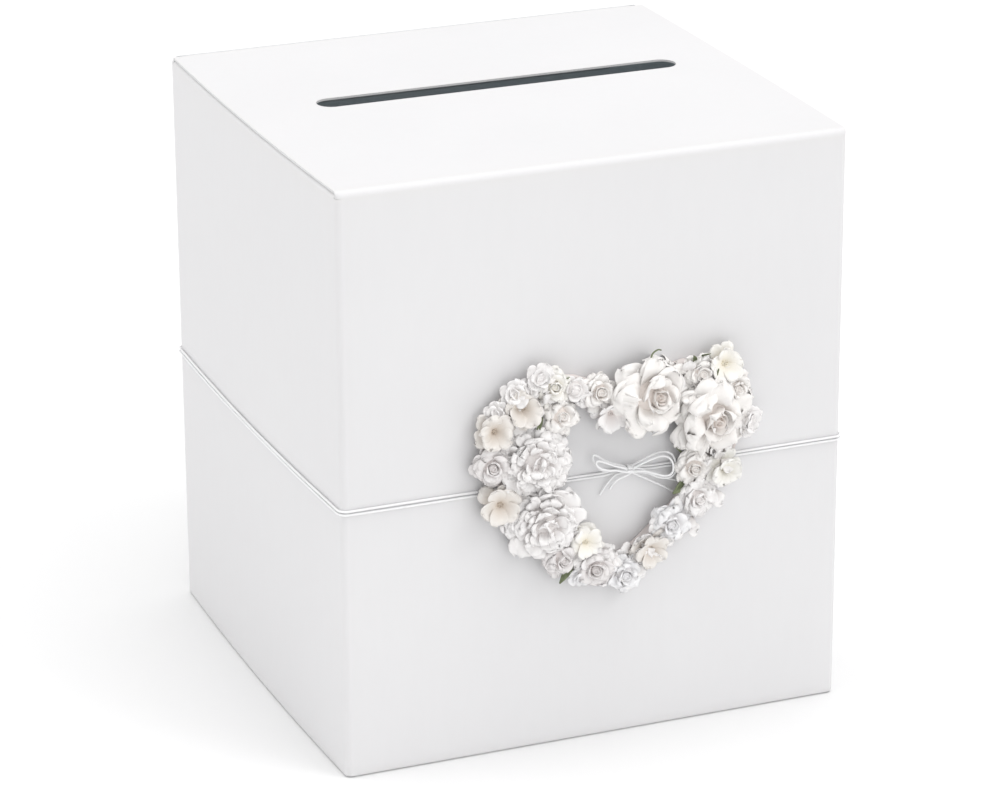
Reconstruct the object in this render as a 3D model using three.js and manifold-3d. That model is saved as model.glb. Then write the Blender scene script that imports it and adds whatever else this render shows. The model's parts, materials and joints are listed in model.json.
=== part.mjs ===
// Wedding card box: a creased white board carton with a slotted lid, a heart wreath of paper flowers on
// its front and a thin double cord tied round it in a bow.
// Millimetres, +Z up, the front faces -Y, the origin is the centre of the underside.
import * as THREE from "three";
import { mergeVertices } from "three/addons/utils/BufferGeometryUtils.js";
import Module from "manifold-3d";

const wasm = await Module();
wasm.setup();

// ---- Carton ----
const WIDTH = 240; // outside, left to right
const DEPTH = 228; // outside, front to back
const HEIGHT = 273; // floor to the top of the lid
const BOARD = 1; // board thickness
const FOLD = 3; // outside radius of the wall and lid creases
const FLAP_FOLD = 2; // outside radius of the dust and tuck flap creases
const GAP = 0.3; // clearance between neighbouring pieces

// ---- Lid ----
const SLOT_LENGTH = 176.4;
const SLOT_WIDTH = 14;
const SLOT_AT = [4.8, 12.1]; // slot centre from the lid's centre
const TUCK_LENGTH = 30;
const TUCK_LEAN = 8; // degrees the tuck flap leans into the box
const DUST_REACH = 22;

// ---- Bottom and glue flap ----
const TONGUE_REACH = 30; // how far the front flap's tongue reaches past the middle
const TONGUE_WIDTH = 96; // across its root
const SIDE_FLAP = 61; // how far each side flap reaches from its wall
const GLUE_WIDTH = 22;

// ---- Cord ----
const CORD = 1.1; // diameter of one strand
const BOW_CORD = 1.1; // strand diameter that the bow's points are drawn for
const CORD_PITCH = 1.5; // centre to centre of the two strands
const CORD_HEIGHT = 127.2;

// ---- Wreath ----
const WREATH_WIDTH = 135; // over the flowers
const WREATH_AT = [8, CORD_HEIGHT + 0.5]; // middle of the heart on the front wall, x and z
const BASE_BAND = 11; // width of the ring the flowers sit on
const BASE_THICK = 4.6;

const RAD = Math.PI / 180;
const object = new THREE.Group();
object.name = "card_box";

const MATERIALS = {
  board: { color: 0xf6f6f7, roughness: 0.5 },
  cord: { color: 0xfbfbfb, roughness: 0.7 },
  base: { color: 0xf2f0ec, roughness: 0.9 },
  petal: { color: 0xf8f5f0, roughness: 0.85 },
  cream: { color: 0xf1e8dc, roughness: 0.85 },
  leaf: { color: 0x7f8a72, roughness: 0.8 },
};

function addMesh(name, geometry, kind) {
  const mesh = new THREE.Mesh(
    geometry,
    new THREE.MeshStandardMaterial({ ...MATERIALS[kind], metalness: 0 }),
  );
  mesh.name = name;
  object.add(mesh);
  return mesh;
}

// three.js geometry to a manifold solid and back.
function solid(geometry) {
  const bare = geometry.clone();
  bare.deleteAttribute("normal");
  bare.deleteAttribute("uv");
  const merged = mergeVertices(bare, 1e-4);
  return new wasm.Manifold(
    new wasm.Mesh({
      numProp: 3,
      vertProperties: new Float32Array(merged.attributes.position.array),
      triVerts: new Uint32Array(merged.index.array),
    }),
  );
}

function geometryOf(body) {
  const mesh = body.getMesh();
  const made = new THREE.BufferGeometry();
  made.setAttribute("position", new THREE.BufferAttribute(new Float32Array(mesh.vertProperties), 3));
  made.setIndex(new THREE.BufferAttribute(new Uint32Array(mesh.triVerts), 1));
  made.computeVertexNormals();
  return made;
}

function box(x0, x1, y0, y1, z0, z1) {
  const made = new THREE.BoxGeometry(x1 - x0, y1 - y0, z1 - z0);
  return made.translate((x0 + x1) / 2, (y0 + y1) / 2, (z0 + z1) / 2);
}

// Section of one panel: u runs along its outer face, v goes into the board. An end is either raw or takes
// half of a crease that turns by 2 * half degrees about an outside radius r.
function panelSection(length, start, end) {
  const halfFold = ({ half, r }, steps, corner, side) => {
    const tangent = r * Math.tan(half * RAD);
    const stop = half * RAD - Math.asin(Math.min(0.9, GAP / 2 / (r - BOARD)));
    const outer = [];
    const inner = [];
    for (let i = 0; i <= steps; i++) {
      const a = (stop * i) / steps;
      outer.push([corner + side * (tangent - r * Math.sin(a)), r - r * Math.cos(a)]);
      const s = r - BOARD;
      inner.push([corner + side * (tangent - s * Math.sin(a)), r - s * Math.cos(a)]);
    }
    return { outer, inner };
  };
  const raw = (u) => ({ outer: [[u, 0]], inner: [[u, BOARD]] });
  const a = start ? halfFold(start, 4, 0, 1) : raw(0);
  const b = end ? halfFold(end, 4, length, -1) : raw(length);
  return [...a.outer.reverse(), ...b.outer, ...b.inner.reverse(), ...a.inner];
}

// Extrudes a section and sets it with its u and v axes along the given directions from a corner.
function panel(section, width, u, v, corner) {
  const shape = new THREE.Shape(section.map(([x, y]) => new THREE.Vector2(x, y)));
  const made = new THREE.ExtrudeGeometry(shape, { depth: width, bevelEnabled: false });
  const w = new THREE.Vector3().crossVectors(u, v);
  return made.applyMatrix4(new THREE.Matrix4().makeBasis(u, v, w).setPosition(...corner));
}

const X = new THREE.Vector3(1, 0, 0);
const Y = new THREE.Vector3(0, 1, 0);
const Z = new THREE.Vector3(0, 0, 1);
const minus = (v) => v.clone().negate();

const square = { half: 45, r: FOLD };
const flapSquare = { half: 45, r: FLAP_FOLD };
const halfW = WIDTH / 2;
const halfD = DEPTH / 2;
const sideTop = HEIGHT - BOARD - GAP; // outer level of the dust flaps
const backTop = HEIGHT - 0.5;

// The walls go round as one strip with creased corners; the front and side walls also turn over at the top.
function wall(length, height, u, v, corner, topFold) {
  const flat = topFold ? height - topFold.r : height;
  const across = panelSection(length, square, square);
  let made = solid(panel(across, flat, u, v, corner));
  if (topFold) {
    const up = panelSection(height, null, topFold);
    const start = new THREE.Vector3(...corner).addScaledVector(u, length - FOLD);
    made = made.add(solid(panel(up, length - 2 * FOLD, Z, v, start.toArray())));
  }
  return made;
}

// Panel widths run along the extrusion axis, which is u x v, so each wall is set from its right corner.
const frontWall = wall(WIDTH, HEIGHT, X, Y, [-halfW, -halfD, 0], square);
const backWall = wall(WIDTH, backTop, minus(X), minus(Y), [halfW, halfD, 0], null);
const leftWall = wall(DEPTH, sideTop, minus(Y), X, [-halfW, halfD, 0], flapSquare);
const rightWall = wall(DEPTH, sideTop, Y, minus(X), [halfW, -halfD, 0], flapSquare);
addMesh("front_wall", geometryOf(frontWall), "board");
addMesh("back_wall", geometryOf(backWall), "board");
addMesh("left_wall", geometryOf(leftWall), "board");
addMesh("right_wall", geometryOf(rightWall), "board");

// Glue flap: continues the back wall round the corner and lies inside the left wall.
const innerX = halfW - BOARD - GAP;
const innerY = halfD - BOARD - GAP;
const flapLevel = BOARD + GAP;
addMesh(
  "glue_flap",
  box(-innerX, -innerX + BOARD, innerY - GLUE_WIDTH, innerY - 3, 3 * flapLevel + 2, HEIGHT - 8),
  "board",
);

// ---- Lid: crease at the front, slot, crease to the tuck flap at the back ----
const lidHalf = halfW - 0.4;
const lidBack = innerY - 0.1;
const tuckFold = { half: (90 + TUCK_LEAN) / 2, r: FLAP_FOLD };
const lidSection = panelSection(lidBack + halfD, square, tuckFold);
let lid = solid(panel(lidSection, 2 * lidHalf, Y, minus(Z), [lidHalf, -halfD, HEIGHT]));

const slotRun = SLOT_LENGTH / 2 - SLOT_WIDTH / 2;
const slotShape = new THREE.Shape();
slotShape.moveTo(-slotRun, -SLOT_WIDTH / 2);
slotShape.lineTo(slotRun, -SLOT_WIDTH / 2);
slotShape.absarc(slotRun, 0, SLOT_WIDTH / 2, -Math.PI / 2, Math.PI / 2, false);
slotShape.lineTo(-slotRun, SLOT_WIDTH / 2);
slotShape.absarc(-slotRun, 0, SLOT_WIDTH / 2, Math.PI / 2, 1.5 * Math.PI, false);
const slotCut = new THREE.ExtrudeGeometry(slotShape, { depth: 8, bevelEnabled: false, curveSegments: 8 });
lid = lid.subtract(solid(slotCut.translate(SLOT_AT[0], SLOT_AT[1], HEIGHT - 5)));
addMesh("lid_panel", geometryOf(lid), "board");

// Tuck flap: leans inwards so that its end clears the back wall on its way out; its corners are cut off.
const tuckHalf = halfW - 2 * (BOARD + GAP) - 3;
const down = new THREE.Vector3(0, -Math.sin(TUCK_LEAN * RAD), -Math.cos(TUCK_LEAN * RAD));
const inwards = new THREE.Vector3().crossVectors(down, X);
const tuckSection = panelSection(TUCK_LENGTH, tuckFold, null);
let tuck = solid(panel(tuckSection, 2 * tuckHalf, down, inwards, [tuckHalf, lidBack, HEIGHT]));
for (const side of [-1, 1]) {
  // keeps what lies inside a slanted line across each lower corner
  const normal = new THREE.Vector3(-side, 0, 0.8).normalize();
  const through = new THREE.Vector3(side * tuckHalf, 0, HEIGHT - 0.45 * TUCK_LENGTH);
  tuck = tuck.trimByPlane(normal.toArray(), normal.dot(through));
}
addMesh("tuck_flap", geometryOf(tuck), "board");

// Dust flaps: short, so that they leave the slot free, with slanted ends.
const dustFront = -halfD + FOLD + 3;
const dustBack = halfD - 8;
for (const side of [-1, 1]) {
  const section = panelSection(DUST_REACH, flapSquare, null);
  const u = side < 0 ? X : minus(X);
  const y = side < 0 ? dustFront : dustBack;
  let flap = solid(panel(section, dustBack - dustFront, u, minus(Z), [side * halfW, y, sideTop]));
  for (const [end, slope] of [
    [1, 1.2],
    [-1, 0.35],
  ]) {
    // end 1 is the front end, where the lid leaves the flap the least room
    const normal = new THREE.Vector3(side * slope, end, 0).normalize();
    const through = new THREE.Vector3(side * (halfW - 3), end > 0 ? dustFront : dustBack, 0);
    flap = flap.trimByPlane(normal.toArray(), normal.dot(through));
  }
  addMesh(side < 0 ? "dust_flap_left" : "dust_flap_right", geometryOf(flap), "board");
}

// ---- Bottom: four flaps in three layers between the walls ----
function plate(outline, z) {
  const shape = new THREE.Shape(outline.map(([x, y]) => new THREE.Vector2(x, y)));
  return new THREE.ExtrudeGeometry(shape, { depth: BOARD, bevelEnabled: false }).translate(0, 0, z);
}
const tongueHalf = TONGUE_WIDTH / 2;
addMesh(
  "bottom_flap_front",
  plate(
    [
      [-innerX + 3, -innerY],
      [innerX - 3, -innerY],
      [innerX - 6, -TONGUE_REACH],
      [tongueHalf, -TONGUE_REACH],
      [tongueHalf - 7, TONGUE_REACH],
      [-tongueHalf + 7, TONGUE_REACH],
      [-tongueHalf, -TONGUE_REACH],
      [-innerX + 6, -TONGUE_REACH],
    ],
    0,
  ),
  "board",
);
for (const side of [-1, 1]) {
  const outline = [
    [side * innerX, -innerY + 3],
    [side * innerX, innerY - 3],
    [side * (innerX - SIDE_FLAP), innerY * 0.72],
    [side * (innerX - SIDE_FLAP), -innerY * 0.1],
    [side * (innerX - SIDE_FLAP * 0.45), -innerY * 0.55],
  ];
  if (side < 0) outline.reverse();
  addMesh(side < 0 ? "bottom_flap_left" : "bottom_flap_right", plate(outline, flapLevel), "board");
}
addMesh(
  "bottom_flap_back",
  plate(
    [
      [innerX - 3, innerY],
      [-innerX + 3, innerY],
      [-innerX + 8, -TONGUE_REACH],
      [-tongueHalf - 5, -TONGUE_REACH],
      [-tongueHalf + 5, TONGUE_REACH * 0.6],
      [tongueHalf - 5, TONGUE_REACH * 0.6],
      [tongueHalf + 5, -TONGUE_REACH],
      [innerX - 8, -TONGUE_REACH],
    ],
    2 * flapLevel,
  ),
  "board",
);

// ---- Cord: two strands round the walls, each open at the knot ----
// A path that bends only at its own points.
class Route extends THREE.Curve {
  constructor(points) {
    super();
    this.points = points;
    this.last = points.length - 1;
  }
  getPoint(t, target = new THREE.Vector3()) {
    const at = t * this.last;
    const i = Math.min(Math.floor(at + 1e-6), this.last - 1);
    return target.lerpVectors(this.points[i], this.points[i + 1], at - i);
  }
  getPointAt(u, target) {
    return this.getPoint(u, target);
  }
  getTangentAt(u, target = new THREE.Vector3()) {
    const i = Math.round(u * this.last);
    const before = this.points[Math.max(i - 1, 0)];
    const here = this.points[i];
    const after = this.points[Math.min(i + 1, this.last)];
    const into = here.clone().sub(before).normalize();
    const out = after.clone().sub(here).normalize();
    return target.copy(into.add(out)).normalize();
  }
}

function strand(points, diameter = CORD) {
  const circle = new THREE.Shape();
  for (let i = 0; i < 8; i++) {
    const a = (i / 8) * 2 * Math.PI;
    const at = [(diameter / 2) * Math.cos(a), (diameter / 2) * Math.sin(a)];
    if (i) circle.lineTo(...at);
    else circle.moveTo(...at);
  }
  circle.closePath();
  return new THREE.ExtrudeGeometry(circle, {
    steps: points.length - 1,
    bevelEnabled: false,
    extrudePath: new Route(points),
  });
}

// A smooth strand through a few points.
function looseStrand(points, steps) {
  const curve = new THREE.CatmullRomCurve3(points.map((p) => new THREE.Vector3(...p)));
  return strand(curve.getSpacedPoints(steps));
}

const offWall = CORD / 2 + GAP; // strand centre from the board
const KNOT = { x: WREATH_AT[0] + 6.5, z: CORD_HEIGHT + 1.5, rx: 2.5, rz: 2 };
const frontLine = -halfD - offWall;

function aroundWalls(z, lift) {
  const run = [];
  const corner = (cx, cy, from) => {
    for (let i = 0; i <= 4; i++) {
      const a = (from + (i * 90) / 4) * RAD;
      const r = FOLD + offWall;
      run.push(new THREE.Vector3(cx + r * Math.cos(a), cy + r * Math.sin(a), z + lift));
    }
  };
  const cx = halfW - FOLD;
  const cy = halfD - FOLD;
  const out = KNOT.rx + GAP;
  run.push(new THREE.Vector3(KNOT.x + out, frontLine, z + 1));
  run.push(new THREE.Vector3(KNOT.x + 12, frontLine, z));
  corner(cx, -cy, -90);
  corner(cx, cy, 0);
  corner(-cx, cy, 90);
  corner(-cx, -cy, 180);
  run.push(new THREE.Vector3(KNOT.x - 12, frontLine, z));
  run.push(new THREE.Vector3(KNOT.x - out, frontLine, z + 1));
  return run;
}
addMesh("cord_band_upper", strand(aroundWalls(CORD_HEIGHT + CORD_PITCH / 2, 0.1)), "cord");
addMesh("cord_band_lower", strand(aroundWalls(CORD_HEIGHT - CORD_PITCH / 2, -0.1)), "cord");

const knotDepth = 4;
const knot = new THREE.SphereGeometry(1, 12, 8).scale(KNOT.rx, knotDepth / 2, KNOT.rz);
addMesh("bow_knot", knot.translate(KNOT.x, -halfD - GAP - knotDepth / 2, KNOT.z), "cord");

// Bow: each side has a double loop and a pair of tails. Points are offsets from the knot: right, up, out.
const BOW = {
  bow_loop_left_outer: [
    [-2.5, 1.7, 2.9], [-7.7, 3.9, 3.6], [-12.7, 6.6, 4], [-16, 9, 4.2], [-17.8, 9.8, 4.3],
    [-18.2, 8.5, 4.4],
    [-17.6, 6.3, 4.4], [-15.7, 3.5, 4.4], [-13.1, 1.7, 4.4], [-9.8, 0.9, 4.4], [-6.5, 0.9, 4.2],
    [-3.3, 0.3, 3.9],
  ],
  bow_loop_left_inner: [
    [-3, -0.9, 4.5], [-7.6, 1.4, 5.6], [-11, 2, 5.8], [-14, 3, 5.9], [-16.3, 4.5, 6], [-17.3, 6.1, 6],
    [-16.8, 7.2, 6], [-15, 7, 6], [-12.3, 5.8, 5.9], [-7.8, 3.5, 5.5], [-2.6, 1.1, 4.9],
  ],
  bow_loop_right_outer: [
    [2.3, 1.9, 2.9], [5.2, 3.4, 3.6], [8, 4.7, 4], [10.8, 5.8, 4.2], [14, 6.5, 4.3], [17.3, 6.2, 4.4],
    [20, 4.5, 4.4], [21.7, 1.3, 4.4], [22.4, -2, 4.4], [21.7, -4.6, 4.4], [19.8, -6.1, 4.4],
    [16.9, -6.3, 4.4],
    [13.1, -5.2, 4.3], [8.9, -2.7, 4.2], [5.7, -0.6, 4], [3.3, 0.4, 3.9],
  ],
  bow_loop_right_inner: [
    [2.6, 1.2, 4.9], [5.5, 2.9, 5.5], [10.1, 4.4, 5.8], [14.1, 5.1, 5.9], [17.1, 4.4, 6],
    [19.1, 2.5, 6],
    [20.1, -0.3, 6], [19.9, -3, 6], [18.4, -4.5, 6], [15.6, -4.5, 5.9], [11.9, -3.2, 5.7],
    [7.4, -1.4, 5.5], [3, -0.9, 4.5],
  ],
  bow_tail_left_long: [
    [-2.3, -1.5, 2.2], [-4.2, -1.6, 2.4], [-6.3, -2, 2.4], [-8.3, -3.6, 2.2], [-10.1, -5.7, 2],
    [-11.9, -8.2, 1.7], [-13.6, -10.8, 1.5],
  ],
  bow_tail_left_short: [
    [-1, -2.4, 3.6], [-3.2, -3, 3.8], [-5.2, -3.6, 3.7], [-7.1, -4.9, 3.5], [-8.5, -6.4, 3.3],
    [-9.4, -8, 3.1],
  ],
  bow_tail_right_long: [
    [1.6, -2.2, 2.2], [4.1, -3.5, 2.4], [9.1, -6.4, 2.3], [12.4, -8.5, 2.1], [15.8, -10.4, 1.9],
    [18.6, -12.2, 1.7], [21.6, -14.2, 1.5],
  ],
  bow_tail_right_short: [
    [1.9, -1.7, 3.7], [4.6, -2, 3], [9.2, -3.4, 2.7], [14.4, -5.4, 2.6], [18.7, -7.3, 2.7],
    [21.9, -8.4, 2.8], [24.1, -9.2, 2.9],
  ],
};
for (const [name, offsets] of Object.entries(BOW)) {
  // the inner loops lie on the outer loops
  const raised = name.includes("inner") ? CORD - BOW_CORD : 0;
  const points = offsets.map(([right, up, out]) => [KNOT.x + right, -halfD - out - raised, KNOT.z + up]);
  addMesh(name, looseStrand(points, name.includes("loop") ? 26 : 10), "cord");
}

// ---- Wreath base: a flat heart-shaped ring with a channel behind for the cord ----
const scale = WREATH_WIDTH / 135;
const toWall = ([x, z]) => [WREATH_AT[0] + x * scale, WREATH_AT[1] + z * scale];
// Middle line of the ring from the point of the heart round its left side, from the heart's middle.
const HEART = [
  [2, -44], [-15, -35.5], [-34, -19], [-51, 4], [-53, 27], [-39, 42], [-19, 43], [-1, 33],
  [19, 39], [38, 43], [53, 31], [53, 9], [41, -12], [21, -32],
];
const line = new THREE.CatmullRomCurve3(
  HEART.map((p) => new THREE.Vector3(toWall(p)[0], 0, toWall(p)[1])),
  true,
  "catmullrom",
  0.6,
);
function sideLine(offset) {
  const count = 44;
  const made = [];
  for (let i = 0; i < count; i++) {
    const at = line.getPointAt(i / count);
    const along = line.getTangentAt(i / count);
    made.push(new THREE.Vector2(at.x + along.z * offset, at.z - along.x * offset));
  }
  return made;
}
const band = (BASE_BAND / 2) * scale;
const ring = new THREE.Shape(sideLine(-band).reverse());
ring.holes.push(new THREE.Path(sideLine(band)));
const baseBlank = new THREE.ExtrudeGeometry(ring, { depth: BASE_THICK, bevelEnabled: false });
baseBlank.applyMatrix4(new THREE.Matrix4().makeBasis(X, Z, minus(Y)));
baseBlank.translate(0, -halfD - GAP, 0);
const channelHalf = (CORD_PITCH + CORD) / 2 + 3 * GAP;
const channelDepth = GAP + CORD + 3 * GAP;
const channel = box(
  -halfW,
  halfW,
  -halfD - channelDepth,
  -halfD + 1,
  CORD_HEIGHT - channelHalf,
  CORD_HEIGHT + channelHalf,
);
addMesh("wreath_base", geometryOf(solid(baseBlank).subtract(solid(channel))), "base");

// ---- Flowers ----
const petalStart = BASE_THICK + 2 * GAP; // distance of the calyx from the wall

// Half sections from the axis, as shares of radius and height.
const SECTIONS = {
  rose: [[0.3, 0], [0.32, 0.1], [0.86, 0.26], [1, 0.52], [0.8, 0.74], [0.56, 0.7], [0.42, 0.96], [0.16, 1]],
  blossom: [[0.24, 0], [0.26, 0.2], [0.7, 0.38], [1, 0.72], [0.94, 0.82], [0.4, 0.62], [0.2, 0.8]],
  carnation: [[0.28, 0], [0.3, 0.08], [0.8, 0.2], [1, 0.46], [0.9, 0.72], [0.66, 0.9], [0.3, 1]],
  bud: [[0.5, 0], [0.6, 0.15], [1, 0.45], [0.86, 0.75], [0.4, 0.97]],
};
const LOBES = {
  rose: [5, 0.06],
  blossom: [5, 0.15],
  carnation: [9, 0.05],
  bud: [3, 0.06],
};

function flower(kind, radius, height, turn, lean, tilt) {
  const [lobes, depth] = LOBES[kind];
  const around = lobes * (kind === "carnation" ? 3 : 4);
  const top = SECTIONS[kind].at(-1)[1] * 0.97;
  const profile = [[0, 0], ...SECTIONS[kind], [0, top]];
  const points = profile.map(([r, h]) => new THREE.Vector2(r * radius, h * height));
  const made = new THREE.LatheGeometry(points, around);
  const at = made.attributes.position;
  for (let i = 0; i < at.count; i++) {
    const x = at.getX(i);
    const z = at.getZ(i);
    const reach = Math.hypot(x, z) / radius;
    const wave = 1 + depth * Math.max(0, reach - 0.4) * 1.6 * Math.cos(lobes * Math.atan2(z, x) + turn);
    at.setX(i, x * wave);
    at.setZ(i, z * wave);
  }
  // The lathe's axis is +Y; the flower faces forwards, leaning to the right and tilting up.
  made.rotateX(Math.PI - tilt * RAD);
  made.rotateZ(lean * RAD);
  return made;
}

// name, kind, x and z from the heart's middle, radius, height, lean to the right, tilt up, colour
const FLOWERS = [
  ["rose_large_top", "rose", 12.6, 37.4, 18.5, 15.5, 16, 4, "petal"],
  ["rose_large_right", "rose", 42.6, 23.2, 18.5, 15.5, 10, -10, "petal"],
  ["carnation_upper", "carnation", -41.1, 15.1, 16.5, 14.5, -4, 4, "petal"],
  ["carnation_lower", "carnation", -38.1, -13.6, 17.5, 14.5, -6, -8, "petal"],
  ["rose_01", "rose", -31.8, 46.6, 7.6, 9.5, -4, 10, "petal"],
  ["rose_02", "rose", -10.6, 41.4, 8, 9.5, 4, 6, "petal"],
  ["rose_03", "rose", 38.8, 42.6, 8, 9, 0, 8, "cream"],
  ["rose_04", "rose", 55.2, 33.9, 7.8, 9.5, 8, 4, "cream"],
  ["rose_05", "rose", 35.9, 0.1, 8, 9.5, -6, -6, "petal"],
  ["rose_06", "rose", 37.2, -15.2, 8.6, 9.5, 4, -4, "petal"],
  ["rose_07", "rose", 24.4, -25.6, 9, 10, 0, -4, "petal"],
  ["rose_08", "rose", 2.1, -46.3, 8.6, 10, 0, -8, "petal"],
  ["rose_09", "rose", -11.9, -41.2, 8.8, 10, -6, -6, "petal"],
  ["rose_10", "rose", -28.7, -34.4, 8, 9.5, 6, -6, "petal"],
  ["rose_11", "rose", -61.5, 14.2, 9, 10, -10, 0, "petal"],
  ["rose_12", "rose", -29.1, 32.9, 8, 9.5, 4, 6, "petal"],
  ["rosebud_01", "bud", -21.6, 44.4, 5.8, 9, 0, 6, "petal"],
  ["blossom_01", "blossom", -45.9, 39.0, 10, 8.5, -14, 8, "petal"],
  ["blossom_02", "blossom", -59.4, 30.2, 10, 8, -8, 2, "cream"],
  ["blossom_03", "blossom", -56.8, -2.7, 10.2, 8, -8, -4, "cream"],
  ["blossom_04", "blossom", -16.5, -28.6, 8.4, 8.5, 0, 4, "cream"],
  ["blossom_05", "blossom", 14.0, -36.4, 9.4, 8, 10, -14, "cream"],
  ["blossom_06", "blossom", 50.4, -3.4, 9, 8, 8, -8, "petal"],
  ["blossom_07", "blossom", 50.0, 47.5, 9.8, 8.5, 0, 8, "petal"],
  ["blossom_08", "blossom", -4.7, 31.9, 9, 8, 0, -20, "petal"],
  ["bud_01", "bud", -37.5, 53.4, 6.4, 9, -14, 24, "petal"],
  ["bud_02", "bud", -48.9, 46.3, 5.6, 8.5, -24, 24, "petal"],
  ["bud_03", "bud", -44.2, 46.2, 5, 8, -10, 20, "petal"],
  ["bud_04", "bud", 62.7, 18.0, 6.4, 9, 40, 0, "petal"],
  ["petals_01", "bud", -57.5, 36.5, 4.6, 7.5, -30, 16, "petal"],
  ["petals_02", "bud", -17.9, -44.2, 4.4, 7, -10, -24, "petal"],
];

const placed = FLOWERS.map(([name, kind, x, z, radius, height, lean, tilt, colour], i) => ({
  name,
  colour,
  at: toWall([x, z]),
  radius: radius * scale,
  body: solid(flower(kind, radius * scale, height * scale, i * 1.7, lean, tilt)),
}));

// Neighbours press against each other: each pair is parted by a plane between their centres.
for (const one of placed) {
  const [x, z] = one.at;
  let body = one.body.translate([x, -halfD - petalStart, z]);
  for (const other of placed) {
    const dx = other.at[0] - x;
    const dz = other.at[1] - z;
    const apart = Math.hypot(dx, dz);
    if (other === one || apart > one.radius + other.radius + 3 * scale) continue;
    const share = (apart ** 2 + one.radius ** 2 - other.radius ** 2) / (2 * apart);
    const normal = [-dx / apart, 0, -dz / apart];
    const limit = normal[0] * x + normal[2] * z - (share - GAP / 2);
    body = body.trimByPlane(normal, limit);
  }
  one.flush = body.trimByPlane([0, -1, 0], halfD + petalStart);
  addMesh(one.name, geometryOf(one.flush), one.colour);
}

// ---- Leaves and stems between the flowers, lying on the base ----
// name, x and z of the foot from the heart's middle, direction in degrees, length, width
const LEAVES = [
  ["leaf_01", 4, 38.5, 112, 11, 5],
  ["leaf_02", 46, 35, 102, 19, 4.5],
  ["leaf_03", 34, -7, 206, 10, 5],
  ["leaf_04", -20.5, -35.5, 234, 14, 5],
];
for (const [name, x, z, direction, length, width] of LEAVES) {
  const blade = new THREE.Shape();
  blade.moveTo(0, 0);
  blade.quadraticCurveTo(length * 0.45, width * 0.62, length, 0);
  blade.quadraticCurveTo(length * 0.45, -width * 0.62, 0, 0);
  const made = new THREE.ExtrudeGeometry(blade, { depth: 0.5, bevelEnabled: false, curveSegments: 6 });
  made.rotateZ(direction * RAD);
  made.scale(scale, scale, 1);
  made.applyMatrix4(new THREE.Matrix4().makeBasis(X, Z, minus(Y)));
  const [wx, wz] = toWall([x, z]);
  made.translate(wx, -halfD - BASE_THICK - 2 * GAP, wz);
  addMesh(name, made, "leaf");
}

export default object;
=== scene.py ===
"""Looks of the wedding card box: a creased white board carton with a heart wreath of paper flowers
and a thin double cord tied in a bow. Metres, +Z up, the front faces -Y."""

import json
import math
import random

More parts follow.
